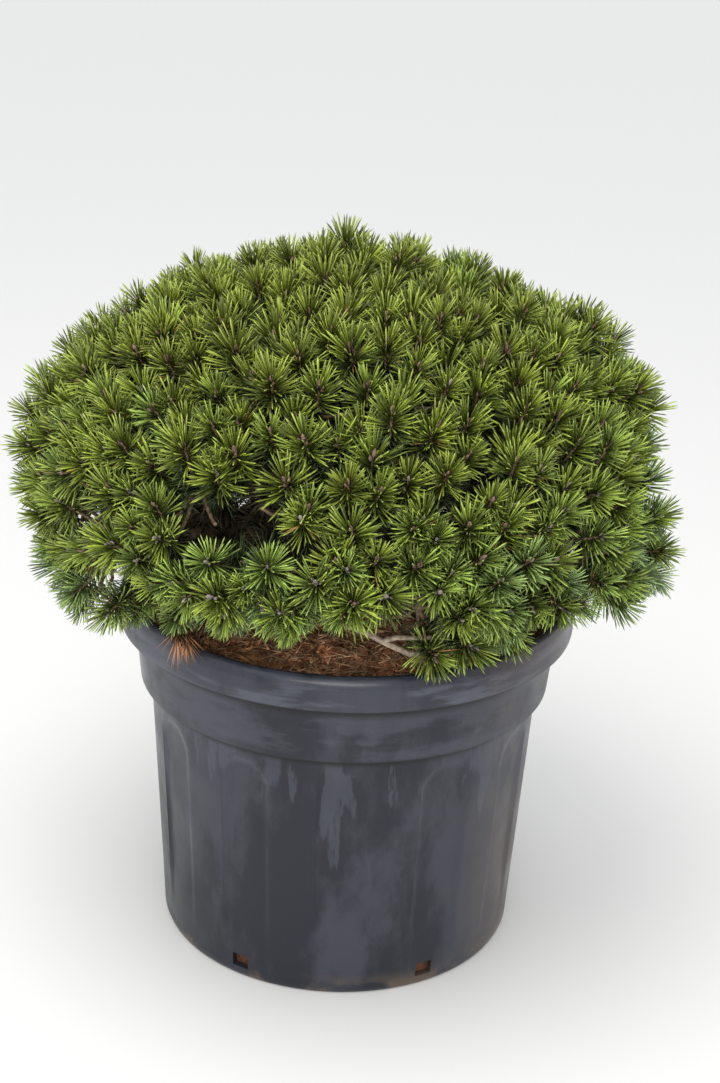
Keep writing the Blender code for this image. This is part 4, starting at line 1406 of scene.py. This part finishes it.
def soil_height(x, y, relief):
    """Height of the soil at a place, mounded under the trunk and lumpy."""
    level = hypot(x, y)
    height = SOIL_MIDDLE_Z
    height += (SOIL_SHOULDER_Z - SOIL_MIDDLE_Z) * ease(level, SOIL_FLAT_RADIUS, SOIL_SHOULDER_RADIUS)
    height += (SOIL_EDGE_Z - SOIL_SHOULDER_Z) * ease(level, SOIL_SHOULDER_RADIUS, SOIL_TOP_RADIUS)
    for share, layer, scale in SOIL_LUMPS:
        height += share * relief * noise.noise(Vector((x, y, layer)) * scale)
    return height


def soil_rings(relief, radii, sectors):
    rings = []
    for radius in radii:
        ring = ring_points(radius, 0.0, sectors)
        for point in ring:
            point.z = soil_height(point.x, point.y, relief)
        rings.append(ring)
    return rings


class PINE_OT_soil(Operator):
    """Fill the pot with its ball of roots, bark and peat"""
    bl_idname = "pine.soil"
    bl_label = "Soil"

    def execute(self, context):
        soil = context.scene.pine_soil
        rings = [ring_points(radius, z, SOIL_SECTORS) for radius, z in SOIL_SIDES]
        radii = [SOIL_TOP_RADIUS * (1.0 - step / SOIL_STEPS) for step in range(SOIL_STEPS)]
        rings += soil_rings(soil.relief, radii, SOIL_SECTORS)
        top = upright(soil_height(0.0, 0.0, soil.relief))
        vertices, faces = closed_rings(rings, upright(SOIL_UNDERSIDE_Z), top)
        item = new_object("root_ball_soil", new_mesh("root_ball_soil", vertices, faces, soil_finish(soil)))
        smooth(item, radians(60.0))
        place(item, ["root_ball"], "potting_bark")
        return {"FINISHED"}


class PINE_OT_litter(Operator):
    """Strew bark chips and fallen needles over the soil"""
    bl_idname = "pine.litter"
    bl_label = "Litter"

    def execute(self, context):
        soil = context.scene.pine_soil
        crown = context.scene.pine_crown
        self.rule = litter_rule()
        rng = random.Random(19)
        for name, dark, light, seed in (("dark_chips", 0.40, 0.85, 3), ("bright_chips", 0.8, 1.2, 7)):
            chips = [chip_object(f"chip_{size}", rng, 0.004 + 0.0022 * size, 0.003 + 0.001 * size)
                     for size in range(CHIP_VARIANTS)]
            finish = chip_finish(name, toned(soil.warm, dark), toned(soil.warm, light))
            self.strew(name, soil, chips, finish, seed, {
                "Density": 0.5 * soil.chip_density, "Smallest": 0.6, "Largest": 1.5, "Tilt": 0.6,
                "Lift": 0.0015})
        for name, tone, share, seed in (
                ("fallen_needles", 1.0, 0.62, 11), ("fallen_needles_dark", 0.6, 0.38, 13)):
            finish = needle_finish(name, toned(soil.straw, tone), 0.6, 0.9)
            self.strew(name, soil, [fallen_pair("fallen_pair", crown)], finish, seed, {
                "Density": share * soil.needle_density, "Smallest": 0.75, "Largest": 1.30, "Tilt": 0.16,
                "Lift": 0.007})
        bpy.data.node_groups.remove(self.rule)
        return {"FINISHED"}

    def strew(self, name, soil, pieces, finish, seed, given):
        """One kind of litter over the top of the soil."""
        radii = [LITTER_RADIUS * (1.0 - step / LITTER_STEPS) + LITTER_INNER_RADIUS
                 for step in range(LITTER_STEPS + 1)]
        rings = soil_rings(soil.relief, radii, LITTER_SECTORS)
        vertices = [point for ring in rings for point in ring]
        surface = new_mesh("soil_top", vertices, ring_faces(len(rings), LITTER_SECTORS))
        helpers = gather("litter_pieces", pieces)
        item = grow(name, new_object("soil_top", surface), self.rule, {
            "Pieces": helpers, "Seed": seed, "Finish": finish, **given})
        scatter(helpers)
        place(item, [], "potting_bark")


# Limbs

def trunk_tip():
    return DOME_MIDDLE + upright(MASS_INNER_SHARE * DOME_UP)


def trunk_point(z):
    """Middle of the trunk at a height."""
    share = (z - TRUNK_FOOT_Z) / (trunk_tip().z - TRUNK_FOOT_Z)
    sway = TRUNK_LEAN * sin(pi * max(0.0, share))
    return upright(TRUNK_FOOT_Z).lerp(trunk_tip(), share) + sway


def bark_relief(depth, point):
    """Long cracks and plates, as a height at a place."""
    cracks, plates = BARK_SCALES
    drawn = Vector((point.x, point.y, BARK_DRAWN_OUT * point.z)) * cracks
    return depth * (noise.noise(drawn) + 0.5 * noise.noise(point * plates))


def trunk_rings(depth):
    rings = []
    low, high = TRUNK_FOOT_Z - 0.012, trunk_tip().z
    for step in range(TRUNK_STEPS):
        z = low + (high - low) * step / (TRUNK_STEPS - 1)
        share = max(0.0, (z - TRUNK_FOOT_Z) / (high - TRUNK_FOOT_Z))
        radius = TRUNK_RADIUS + (TRUNK_TIP_RADIUS - TRUNK_RADIUS) * share
        flare = 1.0 - ease(z, TRUNK_FOOT_Z, TRUNK_FOOT_Z + FLARE_HEIGHT)
        middle = trunk_point(z)
        ring = []
        for side in range(TRUNK_SIDES):
            azimuth = TURN * side / TRUNK_SIDES
            lobe = 0.5 + 0.5 * cos(FLARE_LOBES * azimuth + FLARE_PHASE)
            spread = FLARE_SHARES[0] + FLARE_SHARES[1] * lobe
            wide = radius + (TRUNK_FLARE_RADIUS - TRUNK_RADIUS) * flare * spread
            point = Vector((middle.x, middle.y, z)) + polar_point(wide, azimuth, 0.0)
            ring.append(point + polar_point(bark_relief(depth, point), azimuth, 0.0))
        rings.append(ring)
    return rings, upright(low), trunk_tip()


def bough_path(mass, steps):
    """From the middle of the trunk to the foot of the mass, arriving along its stem."""
    start = trunk_point(mass.bough_z)
    start.z = mass.bough_z
    end = mass.foot()
    level = Vector((mass.unit.x, mass.unit.y, 0.0)).normalized()
    span = (end - start).length
    leave = start + (level * 0.9 + upright(0.1)) * (0.40 * span) - upright(BOUGH_SAG)
    arrive = end - mass.unit * (0.35 * span)
    return curve_points(start, leave, arrive, end, steps)


class PINE_OT_limbs(Operator):
    """Grow the trunk and the boughs with their cracked bark"""
    bl_idname = "pine.limbs"
    bl_label = "Trunk and boughs"

    def execute(self, context):
        bark = context.scene.pine_bark
        depth = bark.relief
        vertices, faces = closed_rings(*trunk_rings(depth))
        for mass in make_masses():
            path = [mass.foot().lerp(mass.heart(), share) for share in STEM_SHARES]
            radii = tapered(STEM_RADII, STEM_SHARES)
            if mass.bough_z > 0.0:
                path = bough_path(mass, BOUGH_STEPS) + path
                shares = [step / (BOUGH_STEPS - 1) for step in range(BOUGH_STEPS)]
                radii = tapered(BOUGH_RADII, shares) + radii
            else:
                path = [trunk_tip() - upright(0.01)] + path
                radii = [TRUNK_TIP_RADIUS] + radii
            points, sides = tube(
                path, radii, BOUGH_SIDES, lambda point: BOUGH_RELIEF_SHARE * bark_relief(depth, point),
                len(vertices))
            vertices += points
            faces += sides
        item = new_object("bark_limbs", new_mesh("bark_limbs", vertices, faces, bark_finish(bark)))
        smooth(item, radians(55.0))
        nodes = ["trunk"] + [name for name in frame["nodes"] if name.startswith("bough_")]
        place(item, nodes, "bark")
        return {"FINISHED"}


class PINE_OT_twigs(Operator):
    """Fork each bough's stem into branchlets and twigs"""
    bl_idname = "pine.twigs"
    bl_label = "Twigs"

    def execute(self, context):
        crown = context.scene.pine_crown
        bark = context.scene.pine_bark
        rule = twig_rule()
        bare = [([Vector(point) for point in points], root, tip) for points, root, tip in BARE_LIMBS]
        for name, lines, sides, wood, tint in (
                ("twigs", twig_lines(plan_crown(crown), crown), TWIG_SIDES, "twig_bark", bark.twig),
                ("bare_limb", bare, BARE_LIMB_SIDES, "bare_wood", bark.bare)):
            given = {"Sides": sides, "Finish": wood_finish(wood, tint)}
            place(grow(name, lines_object("limb_lines", lines), rule, given), [], "bark")
        bpy.data.node_groups.remove(rule)
        return {"FINISHED"}


# Needles and buds

def spray_point(base, axis, size, rng, variants):
    return base, axis, size, rng.uniform(0.0, TURN), rng.randrange(variants)


def shoot_points(shoots, rng, kind):
    """Where tufts of a kind sit on shoots."""
    return [spray_point(shoot.base, shoot.axis, shoot.size, rng, TUFTS[kind][0]) for shoot in shoots]


def set_sprays(name, points, rule, pieces, finish, nodes=(), slot="needles"):
    """A piece made of sprays set on points."""
    source = points_object("spray_points", points)
    place(grow(name, source, rule, {"Pieces": pieces, "Finish": finish}), nodes, slot)


class PINE_OT_needles(Operator):
    """Set a tuft of needles on every shoot, each green a piece of its own"""
    bl_idname = "pine.needles"
    bl_label = "Needles"

    def execute(self, context):
        crown = context.scene.pine_crown
        rng = random.Random(23)
        shoots = sorted(
            green_shoots(plan_crown(crown)), key=lambda shoot: shoot.light() + rng.gauss(0.0, LIGHT_SPREAD))
        greens = [(name, needle_finish("needles_" + name, tint)) for name, tint in NEEDLE_GREENS]
        tufts = make_tufts("tuft", crown, greens[0][1])
        rule = spray_rule()
        nodes = [name for name in frame["nodes"] if name.startswith("foliage_")]
        for step, (name, finish) in enumerate(greens):
            first, last = (len(shoots) * edge // len(greens) for edge in (step, step + 1))
            points = shoot_points(shoots[first:last], rng, "tuft")
            set_sprays("needles_" + name, points, rule, tufts, finish, nodes if step == 0 else ())
        scatter(tufts)
        bpy.data.node_groups.remove(rule)
        return {"FINISHED"}


def inner_sprays():
    """Base, axis and size of the sprays in the shade round the boughs."""
    rng = random.Random(61)
    sprays = []
    for unit in shoot_directions(INNER_SPRAYS):
        base = DOME_MIDDLE + unit * (dome_reach(unit) * rng.uniform(*INNER_DEPTHS))
        base.z = max(base.z, OVER_POT_Z + 0.5 * SHOOT_OVER_POT)
        wander = Vector((rng.uniform(-0.5, 0.5), rng.uniform(-0.5, 0.5), rng.uniform(0.0, 0.5)))
        sprays.append((base, (unit + wander).normalized(), rng.uniform(*INNER_SIZES)))
    for step in range(BACK_SPRAYS):
        azimuth = pi * (0.5 + (step + 0.5) / BACK_SPRAYS)
        base = polar_point(rng.uniform(*BACK_RADII), azimuth, OVER_POT_Z + rng.uniform(*BACK_RISES))
        sprays.append((base, polar_point(1.0, azimuth, rng.uniform(0.0, 0.7)).normalized(), BACK_SIZE))
    return sprays


class PINE_OT_old_needles(Operator):
    """Clothe the twigs below the shoots with the darker needles of earlier years, their dark green partly
    painted shade
    """
    bl_idname = "pine.old_needles"
    bl_label = "Old needles"

    def execute(self, context):
        crown = context.scene.pine_crown
        rng = random.Random(29)
        masses = plan_crown(crown)
        # The old needles' dark green: partly their own, partly painted shade between the shoots
        finish = needle_finish("needles_old", crown.old_needles, 0.5)
        tufts = make_tufts("old_tuft", crown, finish)
        variants = TUFTS["old_tuft"][0]
        rule = spray_rule()
        for name, along, away in OLD_SPRAYS:
            points = []
            for shoot in all_shoots(masses):
                if shoot.sunken and away == 0.0:
                    continue
                inward = shoot.root - shoot.base
                axis = shoot.axis if away == 0.0 else -inward.normalized()
                start = shoot.base - shoot.axis * along + inward * away
                if not in_sight(start + axis * crown.shoot_length):
                    points.append(spray_point(start, axis, shoot.size, rng, variants))
            set_sprays(name, points, rule, tufts, finish)
        points = [spray_point(*inner, rng, variants) for inner in inner_sprays()
                  if not in_sight(inner[0] + inner[1] * crown.shoot_length)]
        shaded = needle_finish("needles_shaded", crown.shaded, 0.6)
        set_sprays("needles_shaded", points, rule, tufts, shaded)
        scatter(tufts)
        browned = needle_finish("needles_browned", crown.browned, 0.6)
        tufts = make_tufts("browned_tuft", crown, browned)
        points = shoot_points(rng.sample(green_shoots(masses), BROWNED_SHOOTS), rng, "browned_tuft")
        set_sprays("needles_browned", points, rule, tufts, browned)
        scatter(tufts)
        tufts = make_tufts("dried_tuft", crown, browned)
        points = [spray_point(Vector(base), Vector(axis).normalized(), 1.0, rng, variants)
                  for base, axis in DRIED_SPRAYS]
        set_sprays("dried_sprays", points, rule, tufts, browned)
        scatter(tufts)
        bpy.data.node_groups.remove(rule)
        return {"FINISHED"}


class PINE_OT_buds(Operator):
    """Set the winter buds at the tip of every shoot"""
    bl_idname = "pine.buds"
    bl_label = "Buds"

    def execute(self, context):
        crown = context.scene.pine_crown
        rng = random.Random(31)
        shoots = green_shoots(plan_crown(crown))
        rule = spray_rule()
        upper = [shoot for shoot in shoots if shoot.height + rng.gauss(0.0, RED_BUD_SPREAD) > RED_BUD_HEIGHT]
        lower = [shoot for shoot in shoots if shoot not in upper]
        for name, own, tint in (("buds_red", upper, crown.bud_red), ("buds_grey", lower, crown.bud_grey)):
            points = []
            for shoot in own:
                size = shoot.size * rng.uniform(*BUD_SIZES)
                points.append(spray_point(shoot.tip(crown), shoot.axis, size, rng, 1))
            helpers = gather("bud_set", [bud_object("bud")])
            set_sprays(name, points, rule, helpers, wood_finish(name, tint), slot="bark")
            scatter(helpers)
        bpy.data.node_groups.remove(rule)
        return {"FINISHED"}


class PINE_PT_panel(Panel):
    bl_label = "Potted pine"
    bl_idname = "PINE_PT_panel"
    bl_space_type = "VIEW_3D"
    bl_region_type = "UI"
    bl_category = "Pine"

    def draw(self, context):
        layout = self.layout
        for step in STEPS:
            layout.operator(step.bl_idname)


STEPS = (
    PINE_OT_stage, PINE_OT_pot, PINE_OT_soil, PINE_OT_litter, PINE_OT_limbs, PINE_OT_twigs,
    PINE_OT_needles, PINE_OT_old_needles, PINE_OT_buds,
)
SETTINGS = (
    ("pine_stage", StageSettings), ("pine_pot", PotSettings), ("pine_soil", SoilSettings),
    ("pine_crown", CrownSettings), ("pine_bark", BarkSettings),
)


def register():
    for name, settings in SETTINGS:
        bpy.utils.register_class(settings)
        setattr(bpy.types.Scene, name, PointerProperty(type=settings))
    for step in STEPS:
        bpy.utils.register_class(step)
    bpy.utils.register_class(PINE_PT_panel)


def unregister():
    bpy.utils.unregister_class(PINE_PT_panel)
    for step in reversed(STEPS):
        bpy.utils.unregister_class(step)
    for name, settings in reversed(SETTINGS):
        delattr(bpy.types.Scene, name)
        bpy.utils.unregister_class(settings)


def main():
    register()
    bpy.ops.pine.stage()
    bpy.ops.pine.pot()
    bpy.ops.pine.soil()
    bpy.ops.pine.litter()
    bpy.ops.pine.limbs()
    bpy.ops.pine.twigs()
    bpy.ops.pine.needles()
    bpy.ops.pine.old_needles()
    bpy.ops.pine.buds()


if __name__ == "__main__":
    main()
